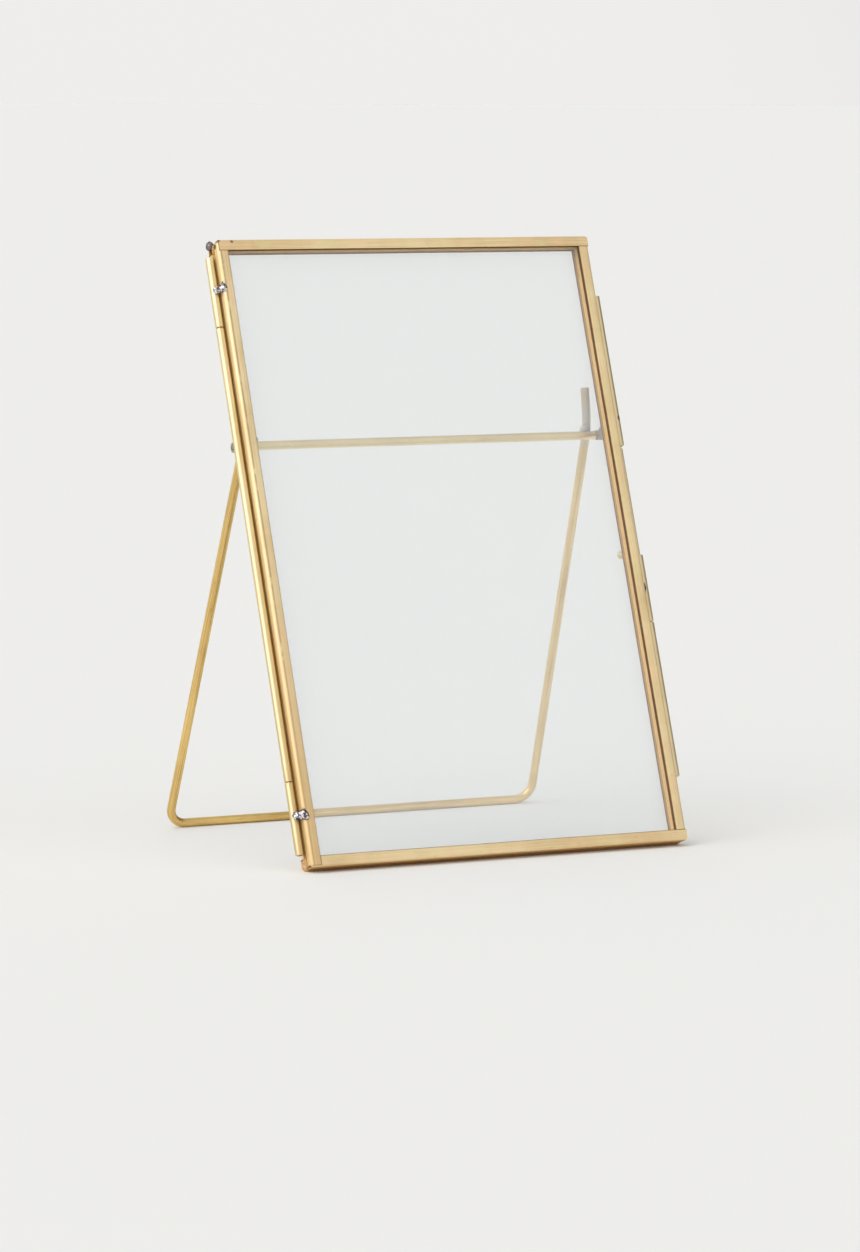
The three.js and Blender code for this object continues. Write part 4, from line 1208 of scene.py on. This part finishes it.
def compass(azimuth, elevation):
    """The direction of a place on the dome: azimuth 0 is in front of the frame, negative to the
    left."""
    a, e = np.radians(azimuth), np.radians(elevation)
    return np.array([np.sin(a) * np.cos(e), -np.cos(a) * np.cos(e), np.sin(e)])


def dome_patch(row, azimuth, elevation, inner, outer, gain):
    """A soft round patch on the dome: gain within the inner angle, falling smoothly to 0 at the
    outer one."""
    facing = add_node(tree, "ShaderNodeVectorMath", (-950, row), operation="DOT_PRODUCT")
    facing.inputs[1].default_value = compass(azimuth, elevation)
    limits = np.cos(np.radians([outer, inner]))
    fade = remap(tree, (-700, row), *limits, 0.0, gain)
    fade.interpolation_type = "SMOOTHSTEP"
    tree.links.new(direction, facing.inputs[0])
    tree.links.new(facing.outputs["Value"], fade.inputs["Value"])
    return fade.outputs["Result"]


uneven = maths(tree, (-480, 0), "ADD", dome_patch(0, **WINDOW), dome_patch(-220, **SHADE))
brightness = maths(tree, (-300, 0), "ADD", uneven, DOME_LEVEL)
tree.links.new(brightness, tree.nodes["Background"].inputs["Strength"])
tree.nodes["Background"].inputs["Color"].default_value = (*DOME_COLOUR, 1)
bpy.context.scene.world = sky
print("dome:", sky.name)

# %% [markdown]
# ## Camera
#
# The camera stands a little to the left and just above the table, far off with a long lens, so that
# upright lines stay nearly parallel. Its matrix is built from three directions, because then the
# small roll of the picture is one more turn of the same axes.

# %% Camera
FOCAL_PIXELS, IMAGE_HEIGHT, SENSOR = 5013.2, 1252, 36.0
AZIMUTH, ELEVATION, ROLL, DISTANCE = -27.193, 6.102, np.radians(0.266), 1.25996
TARGET = np.array([-21.371, LEAF_ORIGIN[1], 60.894]) * MM
back = compass(AZIMUTH, ELEVATION)
level = np.array([np.cos(np.radians(AZIMUTH)), np.sin(np.radians(AZIMUTH)), 0.0])
above = np.cross(back, level)
lens = bpy.data.cameras.new("portrait")
lens.sensor_width, lens.sensor_fit = SENSOR, "AUTO"
lens.lens = FOCAL_PIXELS * SENSOR / IMAGE_HEIGHT
lens.clip_end = 200.0
camera = bpy.data.objects.new("portrait", lens)
pose = np.eye(4)
pose[:3, 0] = level * np.cos(ROLL) + above * np.sin(ROLL)
pose[:3, 1] = above * np.cos(ROLL) - level * np.sin(ROLL)
pose[:3, 2] = back
pose[:3, 3] = TARGET + back * DISTANCE
camera.matrix_world = Matrix(pose)
bpy.context.scene.collection.objects.link(camera)
bpy.context.scene.camera = camera
bpy.context.scene.view_settings.view_transform = "Standard"
print("lens", round(lens.lens, 1), "mm")
